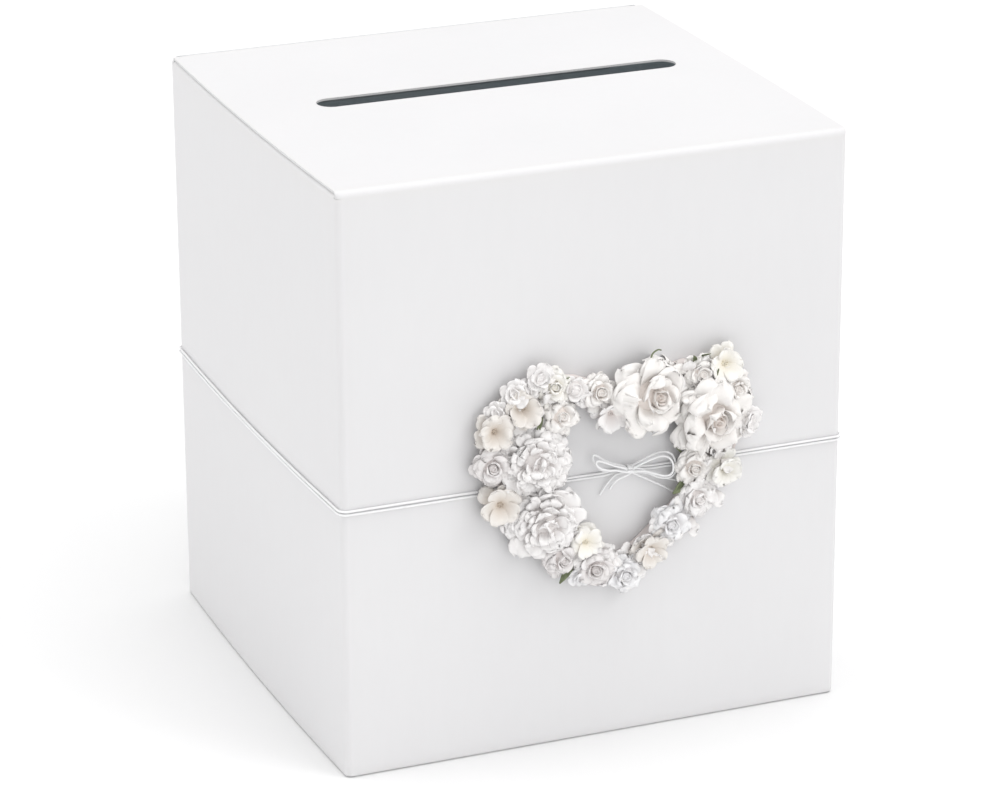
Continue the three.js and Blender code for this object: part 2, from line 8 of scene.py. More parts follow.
import bmesh
import bpy
import numpy as np
from mathutils import Matrix, Vector
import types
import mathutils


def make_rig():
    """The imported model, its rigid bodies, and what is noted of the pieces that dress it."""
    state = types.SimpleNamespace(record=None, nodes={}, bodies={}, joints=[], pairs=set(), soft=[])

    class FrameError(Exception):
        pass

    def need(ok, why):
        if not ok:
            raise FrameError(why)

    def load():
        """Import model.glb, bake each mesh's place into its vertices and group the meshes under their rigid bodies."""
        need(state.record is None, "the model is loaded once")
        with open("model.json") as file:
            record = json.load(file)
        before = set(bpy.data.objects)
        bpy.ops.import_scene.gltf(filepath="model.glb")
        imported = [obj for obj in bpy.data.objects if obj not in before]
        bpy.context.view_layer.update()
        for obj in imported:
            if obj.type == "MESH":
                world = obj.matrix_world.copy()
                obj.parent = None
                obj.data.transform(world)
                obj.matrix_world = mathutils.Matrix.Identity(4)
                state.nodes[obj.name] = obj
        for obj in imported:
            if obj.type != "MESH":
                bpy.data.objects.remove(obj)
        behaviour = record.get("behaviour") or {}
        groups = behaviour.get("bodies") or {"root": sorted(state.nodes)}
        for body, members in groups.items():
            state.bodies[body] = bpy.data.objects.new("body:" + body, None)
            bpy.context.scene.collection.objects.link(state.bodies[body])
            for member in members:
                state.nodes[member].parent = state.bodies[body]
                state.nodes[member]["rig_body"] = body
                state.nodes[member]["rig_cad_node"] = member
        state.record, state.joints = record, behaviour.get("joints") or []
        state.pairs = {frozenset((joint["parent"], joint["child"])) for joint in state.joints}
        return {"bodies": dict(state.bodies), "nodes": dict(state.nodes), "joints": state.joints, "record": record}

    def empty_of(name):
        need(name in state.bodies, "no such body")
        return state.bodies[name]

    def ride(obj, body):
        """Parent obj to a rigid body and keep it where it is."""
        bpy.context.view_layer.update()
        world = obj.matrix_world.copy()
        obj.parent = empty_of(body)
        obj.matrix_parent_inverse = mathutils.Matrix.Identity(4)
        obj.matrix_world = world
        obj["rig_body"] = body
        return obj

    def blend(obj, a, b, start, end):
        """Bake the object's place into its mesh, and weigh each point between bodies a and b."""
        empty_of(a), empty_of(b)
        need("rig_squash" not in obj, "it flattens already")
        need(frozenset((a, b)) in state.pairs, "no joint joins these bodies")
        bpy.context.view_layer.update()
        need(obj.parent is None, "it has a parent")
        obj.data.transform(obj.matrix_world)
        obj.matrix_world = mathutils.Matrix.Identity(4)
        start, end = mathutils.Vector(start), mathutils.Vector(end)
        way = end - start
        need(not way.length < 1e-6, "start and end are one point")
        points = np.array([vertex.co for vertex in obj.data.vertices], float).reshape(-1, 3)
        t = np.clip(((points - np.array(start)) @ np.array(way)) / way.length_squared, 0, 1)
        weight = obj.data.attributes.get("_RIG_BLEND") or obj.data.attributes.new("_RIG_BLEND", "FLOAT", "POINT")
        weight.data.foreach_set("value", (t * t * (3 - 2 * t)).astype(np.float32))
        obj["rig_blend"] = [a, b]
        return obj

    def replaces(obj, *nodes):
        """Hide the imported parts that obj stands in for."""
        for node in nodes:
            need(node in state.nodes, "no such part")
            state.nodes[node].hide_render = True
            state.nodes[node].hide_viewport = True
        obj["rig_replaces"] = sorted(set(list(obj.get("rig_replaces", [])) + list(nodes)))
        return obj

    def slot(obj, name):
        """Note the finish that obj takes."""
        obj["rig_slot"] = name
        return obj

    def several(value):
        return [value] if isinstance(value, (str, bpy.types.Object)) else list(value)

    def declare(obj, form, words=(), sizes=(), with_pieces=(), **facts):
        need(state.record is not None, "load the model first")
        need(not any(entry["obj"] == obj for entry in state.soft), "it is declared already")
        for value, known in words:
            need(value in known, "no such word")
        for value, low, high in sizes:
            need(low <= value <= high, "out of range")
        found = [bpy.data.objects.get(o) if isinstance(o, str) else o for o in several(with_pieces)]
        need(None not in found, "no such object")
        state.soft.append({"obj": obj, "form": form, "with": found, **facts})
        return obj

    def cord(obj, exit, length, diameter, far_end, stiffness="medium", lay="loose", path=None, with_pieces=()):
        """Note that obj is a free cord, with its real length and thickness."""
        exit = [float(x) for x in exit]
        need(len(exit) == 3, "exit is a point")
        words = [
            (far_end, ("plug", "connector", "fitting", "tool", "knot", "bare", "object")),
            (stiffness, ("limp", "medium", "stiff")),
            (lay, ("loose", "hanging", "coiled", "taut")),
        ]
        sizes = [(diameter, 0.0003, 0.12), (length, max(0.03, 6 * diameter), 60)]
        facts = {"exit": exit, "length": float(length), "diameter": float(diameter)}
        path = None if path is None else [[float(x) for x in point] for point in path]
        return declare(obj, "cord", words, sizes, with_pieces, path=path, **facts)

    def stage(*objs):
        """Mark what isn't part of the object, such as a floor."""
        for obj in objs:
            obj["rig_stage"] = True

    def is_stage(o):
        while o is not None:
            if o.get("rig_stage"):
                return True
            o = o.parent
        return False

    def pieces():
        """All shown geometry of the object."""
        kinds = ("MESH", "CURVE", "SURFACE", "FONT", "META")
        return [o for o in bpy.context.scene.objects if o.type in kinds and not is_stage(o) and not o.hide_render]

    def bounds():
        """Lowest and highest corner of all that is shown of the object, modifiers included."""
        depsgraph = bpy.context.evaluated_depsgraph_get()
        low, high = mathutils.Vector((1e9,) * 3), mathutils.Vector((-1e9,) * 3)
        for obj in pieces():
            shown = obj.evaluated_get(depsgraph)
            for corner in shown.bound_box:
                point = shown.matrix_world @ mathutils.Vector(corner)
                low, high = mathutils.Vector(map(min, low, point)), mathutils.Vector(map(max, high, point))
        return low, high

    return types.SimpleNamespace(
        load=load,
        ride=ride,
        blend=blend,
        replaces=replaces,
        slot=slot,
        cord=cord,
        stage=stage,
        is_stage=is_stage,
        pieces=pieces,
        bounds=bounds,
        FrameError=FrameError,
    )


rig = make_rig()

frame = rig.load()
cad_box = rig.bounds()
MM = 0.001
RAD = math.pi / 180
TURN = 2 * math.pi

# ---- Driving sizes, in millimetres ----
WIDTH, DEPTH, HEIGHT = 240.0, 228.0, 273.0
HALF_W, HALF_D = WIDTH / 2, DEPTH / 2
BOARD = 1.0  # board thickness
FOLD = 3.0  # outside radius of the wall and lid creases
FLAP_FOLD = 2.0  # outside radius of the dust and tuck flap creases
GAP = 0.3  # clearance between neighbouring pieces
SLOT_LENGTH, SLOT_WIDTH = 176.4, 14.0
SLOT_X, SLOT_Y = 4.8, 12.1
TUCK_LENGTH = 30.0
TUCK_LEAN = 8.0  # degrees the tuck flap leans into the box
DUST_REACH = 22.0
STRAND_R = 0.55
CORD_Z = 127.2
WREATH_X, WREATH_Z = 8.0, CORD_Z + 0.5
KNOT_X, KNOT_Z = WREATH_X + 6.5, CORD_Z + 1.5
SIDE_TOP = HEIGHT - BOARD - GAP  # top of the dust flaps when the box is shut
LID_BACK = HALF_D - BOARD - GAP - 0.1  # back edge of the lid
LID_HALF = HALF_W - 0.4  # the lid is a little narrower than the walls

# ---- Camera: from the front left and above, with a long lens ----
YAW, PITCH, ROLL = -21.846 * RAD, 20.725 * RAD, -0.282 * RAD
DISTANCE, AIM_RIGHT, AIM_UP = 1.98123, -0.00018, 0.114776
SENSOR, LENS = 36, 149.2272
back = Vector((math.sin(YAW) * math.cos(PITCH), -math.cos(YAW) * math.cos(PITCH), math.sin(PITCH)))
right = Vector((math.cos(YAW), math.sin(YAW), 0))
up = back.cross(right)
camera_data = bpy.data.cameras.new("camera")
camera_data.sensor_width = SENSOR
camera_data.lens = LENS
camera_data.clip_end = 60
camera = bpy.data.objects.new("camera", camera_data)
bpy.context.collection.objects.link(camera)
rolled_right = right * math.cos(ROLL) + up * math.sin(ROLL)
rolled_up = up * math.cos(ROLL) - right * math.sin(ROLL)
turn = Matrix((rolled_right, rolled_up, back)).transposed().to_4x4()
place = back * DISTANCE + right * AIM_RIGHT + up * AIM_UP
camera.matrix_world = Matrix.Translation(place) @ turn
bpy.context.scene.camera = camera


# ---- Mesh helpers ----
class Mesh:
    """Collects sheets and tubes, in millimetres, into one object."""

    def __init__(self):
        self.points, self.faces, self.tones, self.slots = [], [], [], []
        self.count = 0

    def grid(self, p, tone=1.0, slot=0, loop_u=False, flip=False):
        """Adds a sheet of points. The tone is painted shade: it runs from 0, darkest, at a flower's heart or in a
        cord's grooves, to 1 at a petal's edge or a ply's crest.
        """
        p = np.asarray(p, float)
        rows, columns = p.shape[:2]
        start = self.count
        self.points.append(p.reshape(-1, 3))
        self.tones.append(np.array(np.broadcast_to(tone, (rows, columns)), float).reshape(-1))
        self.count += rows * columns
        for i in range(rows - 1):
            for j in range(columns if loop_u else columns - 1):
                a = start + i * columns + j
                b = start + i * columns + (j + 1) % columns
                face = (a, b, b + columns, a + columns)
                self.face(face[::-1] if flip else face, slot)
        return start

    def face(self, indices, slot=0):
        self.faces.append(tuple(indices))
        self.slots.append(slot)

    def vertices(self):
        return np.concatenate(self.points)

    def build(self, name, materials, transform=None, sharp=None, weld=None):
        """Makes the object. sharp is the angle from which an edge stays hard, weld a merging distance."""
        v = self.vertices()
        if transform is not None:
            v = transform(v)
        data = bpy.data.meshes.new(name)
        data.from_pydata((v * MM).tolist(), [], self.faces)
        for m in materials:
            data.materials.append(m)
        data.polygons.foreach_set("material_index", self.slots)
        data.polygons.foreach_set("use_smooth", [True] * len(self.faces))
        attribute = data.attributes.new("tone", "FLOAT", "POINT")
        attribute.data.foreach_set("value", np.concatenate(self.tones).astype(np.float32))
        data.update()
        data.validate()
        obj = bpy.data.objects.new(name, data)
        bpy.context.collection.objects.link(obj)
        if weld:
            b = bmesh.new()
            b.from_mesh(data)
            bmesh.ops.remove_doubles(b, verts=b.verts, dist=weld * MM)
            bmesh.ops.recalc_face_normals(b, faces=b.faces)
            b.to_mesh(data)
            b.free()
        if sharp:
            data.set_sharp_from_angle(angle=sharp * RAD)
        return obj


def resample(points, step):
    """Points along a polyline, evenly spaced by about step."""
    p = np.asarray(points, float)
    lengths = np.concatenate([[0], np.cumsum(np.linalg.norm(np.diff(p, axis=0), axis=1))])
    n = max(2, int(round(lengths[-1] / step)) + 1)
    at = np.linspace(0, lengths[-1], n)
    return np.stack([np.interp(at, lengths, p[:, k]) for k in range(3)], axis=1), lengths[-1]


def smooth_path(points, per_span=12):
    """A Catmull-Rom line through the points."""
    p = np.asarray(points, float)
    p = np.vstack([2 * p[0] - p[1], p, 2 * p[-1] - p[-2]])
    out = []
    for i in range(1, len(p) - 2):
        t = np.linspace(0, 1, per_span, endpoint=False)[:, None]
        a, b, c, d = p[i - 1], p[i], p[i + 1], p[i + 2]
        out.append(
            0.5 * (2 * b + (c - a) * t + (2 * a - 5 * b + 4 * c - d) * t**2 + (3 * b - a - 3 * c + d) * t**3)
        )
    out.append(p[-2][None])
    return np.vstack(out)


def frames_along(p):
    """Tangent and two side directions that don't twist along a line."""
    t = np.gradient(p, axis=0)
    t /= np.linalg.norm(t, axis=1)[:, None]
    n = np.cross(t[0], [0.0, 0.0, 1.0])
    if np.linalg.norm(n) < 1e-3:
        n = np.cross(t[0], [0.0, 1.0, 0.0])
    n /= np.linalg.norm(n)
    sides = []
    for i in range(len(p)):
        n = n - t[i] * (n @ t[i])
        n /= np.linalg.norm(n)
        sides.append(n.copy())
    n = np.array(sides)
    return t, n, np.cross(t, n)


def tube(mesh, p, radius, sides, plies=0, pitch=2.6, phase=0.0):
    """A round tube, or a twisted cord with the given number of plies. radius may vary along it."""
    _, n, b = frames_along(p)
    r = np.broadcast_to(radius, (len(p),))[:, None]
    a = np.linspace(0, TURN, sides, endpoint=False)[None]
    tone = 1.0
    if plies:
        run = np.concatenate([[0], np.cumsum(np.linalg.norm(np.diff(p, axis=0), axis=1))])[:, None]
        lobes = np.abs(np.cos((a - TURN * run / pitch + phase) * plies / 2))
        r = r * (0.86 + 0.14 * lobes**0.7)
        # painted shade: the tone marks the grooves between the plies for darkening
        tone = 0.35 + 0.65 * lobes
    ring = p[:, None] + n[:, None] * (r * np.cos(a))[..., None] + b[:, None] * (r * np.sin(a))[..., None]
    start = mesh.grid(ring, tone, loop_u=True, flip=True)
    end = start + (len(p) - 1) * sides
    mesh.face(range(start + sides - 1, start - 1, -1))
    mesh.face(range(end, end + sides))


def bow_out(v):
    """The side walls' slight outward bow, strongest half way between the creases."""
    v = v.copy()
    share = 1 - np.clip(np.abs(v[:, 1]) / HALF_D, 0, 1) ** 2
    for side, amount in ((-1, 2.2), (1, 1.2)):
        near = np.clip((side * v[:, 0] - 0.86 * HALF_W) / (0.14 * HALF_W), 0, 1.2)
        v[:, 0] += side * amount * share * near
    return v


# ---- Materials ----
def nodes_of(name):
    """A new material with its node tree, its shader and the tree's links."""
    m = bpy.data.materials.new(name)
    m.use_nodes = True
    tree = m.node_tree
    return m, tree, tree.nodes["Principled BSDF"], tree.links


def noise(tree, scale, detail=3, rough=0.55, stretch=None, coords=None):
    """Noise in object space, as its factor."""
    coords = coords or tree.nodes.new("ShaderNodeTexCoord")
    n = tree.nodes.new("ShaderNodeTexNoise")
    n.inputs["Scale"].default_value = scale
    n.inputs["Detail"].default_value = detail
    n.inputs["Roughness"].default_value = rough
    source = coords.outputs["Object"]
    if stretch:
        mapping = tree.nodes.new("ShaderNodeMapping")
        mapping.inputs["Scale"].default_value = stretch
        tree.links.new(source, mapping.inputs["Vector"])
        source = mapping.outputs["Vector"]
    tree.links.new(source, n.inputs["Vector"])
    return n.outputs["Fac"]


def ramp(tree, source, stops):
    """A colour ramp over the source, as its colour."""
    r = tree.nodes.new("ShaderNodeValToRGB")
    while len(r.color_ramp.elements) < len(stops):
        r.color_ramp.elements.new(0.5)
    for e, (at, colour) in zip(r.color_ramp.elements, stops):
        e.position = at
        e.color = (*colour, 1)
    tree.links.new(source, r.inputs["Fac"])
    return r.outputs["Color"]


def tone_of(tree):
    attribute = tree.nodes.new("ShaderNodeAttribute")
    attribute.attribute_name = "tone"
    return attribute.outputs["Fac"]


def multiply(tree, a, b):
    """The product of two colours. Inputs 6 and 7 of the node are its colours, output 2 the result."""
    m = tree.nodes.new("ShaderNodeMix")
    m.data_type = "RGBA"
    m.blend_type = "MULTIPLY"
    m.inputs["Factor"].default_value = 1.0
    tree.links.new(a, m.inputs[6])
    tree.links.new(b, m.inputs[7])
    return m.outputs[2]


def bump_stack(tree, layers):
    """Bump layers of (height output, strength, distance in metres), one on another."""
    normal = None
    for height, strength, distance in layers:
        b = tree.nodes.new("ShaderNodeBump")
        b.inputs["Strength"].default_value = strength
        b.inputs["Distance"].default_value = distance
        tree.links.new(height, b.inputs["Height"])
        if normal is not None:
            tree.links.new(normal, b.inputs["Normal"])
        normal = b.outputs["Normal"]
    return normal


def board_material():
    """Smooth white board with a fine fibre and a barely uneven surface."""
    m, tree, s, link = nodes_of("board_white")
    coords = tree.nodes.new("ShaderNodeTexCoord")
    cloud = noise(tree, 9, 2, coords=coords)
    fibre = noise(tree, 260, 4, 0.6, (1, 1, 0.22), coords)
    grain = noise(tree, 1500, 2, 0.5, None, coords)
    wave = noise(tree, 5.5, 1, 0.4, None, coords)
    base = ramp(tree, cloud, [(0.3, (0.742, 0.738, 0.746)), (0.7, (0.754, 0.75, 0.757))])
    speck = ramp(tree, fibre, [(0.3, (0.99, 0.99, 0.99)), (0.75, (1, 1, 1))])
    colour = multiply(tree, base, speck)
    # painted shade: the rounded creases and corners are tinted a touch darker and warmer
    crease_shade_geometry = tree.nodes.new("ShaderNodeNewGeometry")
    edge = ramp(tree, crease_shade_geometry.outputs["Pointiness"], [(0.5, (1, 1, 1)), (0.62, (1.0, 0.995, 0.985))])
    link.new(multiply(tree, colour, edge), s.inputs["Base Color"])
    rough = ramp(tree, cloud, [(0.25, (0.52, 0.52, 0.52)), (0.8, (0.62, 0.62, 0.62))])
    link.new(rough, s.inputs["Roughness"])
    layers = [
        (wave, 0.3, 0.001),
        (fibre, 0.05, 0.00004),
        (grain, 0.06, 0.00003),
    ]
    link.new(bump_stack(tree, layers), s.inputs["Normal"])
    s.inputs["Specular IOR Level"].default_value = 0.3
    return m


def board_inside_material():
    """The uncoated face of the board, inside the box. A faint cool glow is painted light that brightens the shaded
    inside of the box.
    """
    m, tree, s, link = nodes_of("board_inside")
    coords = tree.nodes.new("ShaderNodeTexCoord")
    fibre = noise(tree, 420, 4, 0.65, (1, 1, 0.4), coords)
    cloud = noise(tree, 12, 2, coords=coords)
    base = ramp(tree, fibre, [(0.3, (0.86, 0.88, 0.89)), (0.7, (0.88, 0.9, 0.91))])
    shade = ramp(tree, cloud, [(0.3, (0.985, 0.985, 0.985)), (0.7, (1, 1, 1))])
    colour = multiply(tree, base, shade)
    link.new(colour, s.inputs["Base Color"])
    s.inputs["Roughness"].default_value = 0.8
    s.inputs["Specular IOR Level"].default_value = 0.25
    # painted light: a faint cool glow (emission) brightens the inside of the box
    s.inputs["Emission Color"].default_value = (0.78, 0.93, 1.0, 1)
    s.inputs["Emission Strength"].default_value = 0.025
    link.new(bump_stack(tree, [(fibre, 0.15, 0.00008)]), s.inputs["Normal"])
    return m


def board_edge_material():
    """The rough, slightly darker cut edge of the board."""
    m, tree, s, link = nodes_of("board_cut_edge")
    fibre = noise(tree, 900, 4, 0.7)
    base = ramp(tree, fibre, [(0.3, (0.66, 0.66, 0.66)), (0.7, (0.76, 0.76, 0.76))])
    link.new(base, s.inputs["Base Color"])
    s.inputs["Roughness"].default_value = 0.9
    link.new(bump_stack(tree, [(fibre, 0.5, 0.0003)]), s.inputs["Normal"])
    return m


def petal_material(name, inner, outer, rough=0.82):
    """Crinkled mulberry paper, from a darker painted shade in the flower's heart to the paper's own colour at the
    petal's edge.
    """
    m, tree, s, link = nodes_of(name)
    coords = tree.nodes.new("ShaderNodeTexCoord")
    # painted shade: the tone darkens the paper towards the flower's heart
    tint = ramp(tree, tone_of(tree), [(0.0, inner), (0.75, outer)])
    blotch = noise(tree, 160, 3, coords=coords)
    fibres = noise(tree, 900, 5, 0.65, (1, 1, 0.4), coords)
    shade = ramp(tree, blotch, [(0.3, (0.965, 0.96, 0.955)), (0.65, (1, 1, 1))])
    colour = multiply(tree, tint, shade)
    link.new(colour, s.inputs["Base Color"])
    s.inputs["Roughness"].default_value = rough
    s.inputs["Specular IOR Level"].default_value = 0.25
    layers = [(blotch, 0.35, 0.0006), (fibres, 0.3, 0.00025)]
    link.new(bump_stack(tree, layers), s.inputs["Normal"])
    return m


def leaf_material():
    m, tree, s, link = nodes_of("leaf_green")
    coords = tree.nodes.new("ShaderNodeTexCoord")
    blotch = noise(tree, 300, 3, coords=coords)
    fibres = noise(tree, 1100, 4, 0.6, None, coords)
    stops = [(0.25, (0.09, 0.11, 0.055)), (0.6, (0.2, 0.23, 0.13)), (0.85, (0.33, 0.36, 0.24))]
    base = ramp(tree, blotch, stops)
    link.new(base, s.inputs["Base Color"])
    s.inputs["Roughness"].default_value = 0.7
    link.new(bump_stack(tree, [(fibres, 0.5, 0.0003)]), s.inputs["Normal"])
    return m


def cord_material():
    m, tree, s, link = nodes_of("cord_white")
    coords = tree.nodes.new("ShaderNodeTexCoord")
    fuzz = noise(tree, 3500, 3, 0.6, None, coords)
    # painted shade: the cord is darker where the tone marks the grooves between its plies
    base = ramp(tree, tone_of(tree), [(0.3, (0.82, 0.825, 0.84)), (0.8, (0.93, 0.93, 0.935))])
    spot = ramp(tree, fuzz, [(0.35, (0.93, 0.93, 0.93)), (0.65, (1, 1, 1))])
    colour = multiply(tree, base, spot)
    link.new(colour, s.inputs["Base Color"])
    s.inputs["Roughness"].default_value = 0.75
    s.inputs["Sheen Weight"].default_value = 0.3
    link.new(bump_stack(tree, [(fuzz, 0.4, 0.0002)]), s.inputs["Normal"])
    return m


BOARD_M = board_material()
INSIDE_M = board_inside_material()
EDGE_M = board_edge_material()
CORD_M = cord_material()
LEAF_M = leaf_material()
# Each tint runs from a darker painted shade in the flower's heart to the paper's colour at the petal's edge.
PETAL = {
    "white": petal_material("petal_white", (0.79, 0.73, 0.71), (0.92, 0.905, 0.9)),
    "warm": petal_material("petal_warm", (0.8, 0.72, 0.67), (0.92, 0.9, 0.88)),
    "cream": petal_material("petal_cream", (0.63, 0.55, 0.47), (0.82, 0.79, 0.755)),
    "ivory": petal_material("petal_ivory", (0.85, 0.8, 0.68), (0.93, 0.915, 0.88)),
    # painted shade: a darker copy of the white paper for the roses low on the left, which lie in shade
    "grey": petal_material("petal_grey", (0.66, 0.6, 0.585), (0.83, 0.805, 0.8)),
    "cool": petal_material("petal_cool", (0.78, 0.76, 0.765), (0.91, 0.908, 0.918)),
    "green": petal_material("petal_greenish", (0.76, 0.73, 0.64), (0.91, 0.9, 0.87)),
}
OUTSIDE = [BOARD_M, EDGE_M, BOARD_M]  # a sheet's outer face, cut edges and inner face
LINED = [BOARD_M, EDGE_M, INSIDE_M]
PAPER = 0.2  # thickness of petals and leaves


# Signs of x and y at the carton's upright corners, in order from the front right, and where each arc starts.
CORNERS = ((1, -1, -90), (1, 1, 0), (-1, 1, 90), (-1, -1, 180))

# ---- Cord ----
OFF_WALL = STRAND_R + GAP
FRONT_LINE = -HALF_D - OFF_WALL


def band_route(z, lift, drift):
    """From the knot to the right, round the four walls and back to the knot from the left."""
    leave = [(2, 0.6, 1.2), (5, 0.2, 0.7), (12, 0, 0)]  # along the wall, off it, up
    pts = [(KNOT_X + along, FRONT_LINE - off, z + rise) for along, off, rise in leave]
    for x in np.linspace(KNOT_X + 25, HALF_W - FOLD, 7):
        pts.append((x, FRONT_LINE, z + lift * (x - KNOT_X) / (HALF_W - KNOT_X)))
    r = FOLD + OFF_WALL
    for index, (sx, sy, start) in enumerate(CORNERS):
        for i in range(7):
            a = (start + 15 * i) * RAD
            x = sx * (HALF_W - FOLD) + r * math.cos(a)
            y = sy * (HALF_D - FOLD) + r * math.sin(a)
            pts.append((x, y, z + lift))
        if index in (0, 2):
            for y in np.linspace(sy * (HALF_D - 12), -sy * (HALF_D - 12), 15):
                pts.append((sx * (HALF_W + OFF_WALL), y, z + lift + drift * math.sin(y * 0.03 + sx)))
        if index == 1:
            for x in np.linspace(HALF_W - 12, -HALF_W + 12, 9):
                pts.append((x, HALF_D + OFF_WALL, z + lift + drift * math.sin(x * 0.02)))
    for x in np.linspace(-HALF_W + FOLD + 6, KNOT_X - 25, 9):
        wander = drift * math.sin((x + HALF_W) * 0.045)
        pts.append((x, FRONT_LINE, z + lift + wander))
    pts += [(KNOT_X - along, FRONT_LINE - off, z + rise) for along, off, rise in leave[::-1]]
    return bow_out(np.array(pts))


def make_cord(name, points, radius, phase, step):
    """A laid cord along the points, and its length."""
    line, length = resample(points, step)
    m = Mesh()
    tube(m, line, radius, 10, plies=3, phase=phase)
    obj = m.build(name, [CORD_M])
    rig.slot(obj, "cord")
    return obj, length


for name, offset, lift, drift, node in (
    ("band_strand_upper", 0.68, 0.1, 0.12, "cord_band_upper"),
    ("band_strand_lower", -0.68, -0.1, -0.12, "cord_band_lower"),
):
    route = band_route(CORD_Z + offset, lift, drift)
    obj, _ = make_cord(name, route, STRAND_R, offset, 0.45)
    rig.ride(obj, "carton")
    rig.replaces(obj, node)

BOW_R = 0.5  # the bow's strands are pulled a little thinner
# Each of the four bow strands leaves the knot, makes its loop and comes out again as a tail.
# Points are offsets from the knot: right, up, out.
BOW = {
    "bow_strand_left_outer": (
        [(-1.8, 1.2, 2.7), (-4.6, 2.7, 3.2), (-7.7, 3.9, 3.6), (-12.7, 6.6, 4), (-16, 9, 4.2),
         (-17.8, 9.8, 4.3), (-18.2, 8.5, 4.4), (-17.6, 6.3, 4.4), (-15.7, 3.5, 4.4), (-13.1, 1.7, 4.4),
         (-9.8, 0.9, 4.4), (-6.5, 0.9, 4.2), (-3.3, 0.3, 3.9), (-0.8, -0.4, 3.5), (1.2, -1.8, 2.6),
         (4.1, -3.5, 2.4), (9.1, -6.4, 2.3), (12.4, -8.5, 2.1), (15.8, -10.4, 1.9), (18.6, -12.2, 1.7),
         (21.6, -14.2, 1.5)],
        ["bow_loop_left_outer", "bow_tail_right_long"],
    ),
    "bow_strand_left_inner": (
        [(-1.8, 0.9, 4.5), (-4.6, 2.2, 5.2), (-7.8, 3.5, 5.5), (-12.3, 5.8, 5.9), (-15, 7, 6),
         (-16.8, 7.2, 6), (-17.3, 6.1, 6), (-16.3, 4.5, 6), (-14, 3, 5.9), (-11, 2, 5.8), (-7.6, 1.4, 5.6),
         (-4.4, 0.2, 5), (-2, -0.6, 4.5), (0, -1.2, 4.3), (1.9, -1.7, 3.7), (4.6, -2, 3), (9.2, -3.4, 2.7),
         (14.4, -5.4, 2.6), (18.7, -7.3, 2.7), (21.9, -8.4, 2.8), (24.1, -9.2, 2.9)],
        ["bow_loop_left_inner", "bow_tail_right_short"],
    ),
    "bow_strand_right_outer": (
        [(1.6, 1.4, 2.7), (3.4, 2.4, 3.1), (5.2, 3.4, 3.6), (8, 4.7, 4), (10.8, 5.8, 4.2), (14, 6.5, 4.3),
         (17.3, 6.2, 4.4), (20, 4.5, 4.4), (21.7, 1.3, 4.4), (22.4, -2, 4.4), (21.7, -4.6, 4.4),
         (19.8, -6.1, 4.4), (16.9, -6.3, 4.4), (13.1, -5.2, 4.3), (8.9, -2.7, 4.2), (5.7, -0.6, 4),
         (3.1, 0.2, 3.8), (0.6, -0.3, 3.4), (-1.2, -1.1, 2.6), (-4.2, -1.6, 2.4), (-6.3, -2, 2.4),
         (-8.3, -3.6, 2.2), (-10.1, -5.7, 2), (-11.9, -8.2, 1.7), (-13.6, -10.8, 1.5)],
        ["bow_loop_right_outer", "bow_tail_left_long"],
    ),
    "bow_strand_right_inner": (
        [(1.6, 0.9, 4.5), (3.4, 1.9, 5.1), (5.5, 2.9, 5.5), (10.1, 4.4, 5.8), (14.1, 5.1, 5.9),
         (17.1, 4.4, 6), (19.1, 2.5, 6), (20.1, -0.3, 6), (19.9, -3, 6), (18.4, -4.5, 6),
         (15.6, -4.5, 5.9), (11.9, -3.2, 5.7), (7.4, -1.4, 5.5), (4.4, -1, 5), (2, -0.9, 4.5),
         (0.4, -1.4, 4.2), (-1, -2.4, 3.6), (-3.2, -3, 3.8), (-5.2, -3.6, 3.7), (-7.1, -4.9, 3.5),
         (-8.5, -6.4, 3.3), (-9.4, -8, 3.1)],
        ["bow_loop_right_inner", "bow_tail_left_short"],
    ),
}


def bow_points(offsets):
    o = np.array(offsets, float)
    return np.stack([KNOT_X + o[:, 0], -HALF_D - o[:, 2], KNOT_Z + o[:, 1]], axis=1)


for index, (name, (offsets, replaced)) in enumerate(BOW.items()):
    route = smooth_path(bow_points(offsets), 8)
    obj, length = make_cord(name, route, BOW_R, index * 0.7, 0.4)
    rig.ride(obj, "carton")
    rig.replaces(obj, *replaced)
    points = (resample(route, 1.2)[0] * MM).tolist()
    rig.cord(
        obj,
        exit=points[0],
        length=length * MM,
        diameter=0.0011,
        far_end="bare",
        stiffness="limp",
        lay="loose",
        path=points,
    )

# Three wraps round the strands' crossing.
knot = Mesh()
for k, (dx, dz, lean) in enumerate(((-0.95, 0.1, 0.3), (0.0, 0.1, 0.22), (0.95, -0.1, 0.28))):
    a = np.linspace(0.15, 2 * math.pi + 0.05, 40)
    ring = np.stack(
        [
            KNOT_X + dx + lean * np.sin(a) * 1.2 + 0.1 * np.cos(2 * a + k),
            -HALF_D - 2.7 - 1.75 * np.cos(a),
            KNOT_Z + dz + 1.55 * np.sin(a),
        ],
        axis=1,
    )
    tube(knot, ring, STRAND_R, 10, plies=3, phase=k * 1.1)
knot_core = smooth_path(bow_points([(-2.8, 0.7, 3.2), (-1, 0.2, 3.3), (1, -0.2, 3.3), (2.9, 0.6, 3.2)]), 10)
tube(knot, knot_core, 1.05, 10, plies=3, pitch=5)
knot_obj = knot.build("bow_knot_wraps", [CORD_M])
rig.slot(knot_obj, "cord")
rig.ride(knot_obj, "carton")
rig.replaces(knot_obj, "bow_knot")


# ---- Carton ----
def arc(cx, cy, r, a0, a1, n):
    """Points of an arc from angle a0 to a1, in degrees."""
    a = np.linspace(a0, a1, n) * RAD
    return [(cx + r * math.cos(t), cy + r * math.sin(t)) for t in a]


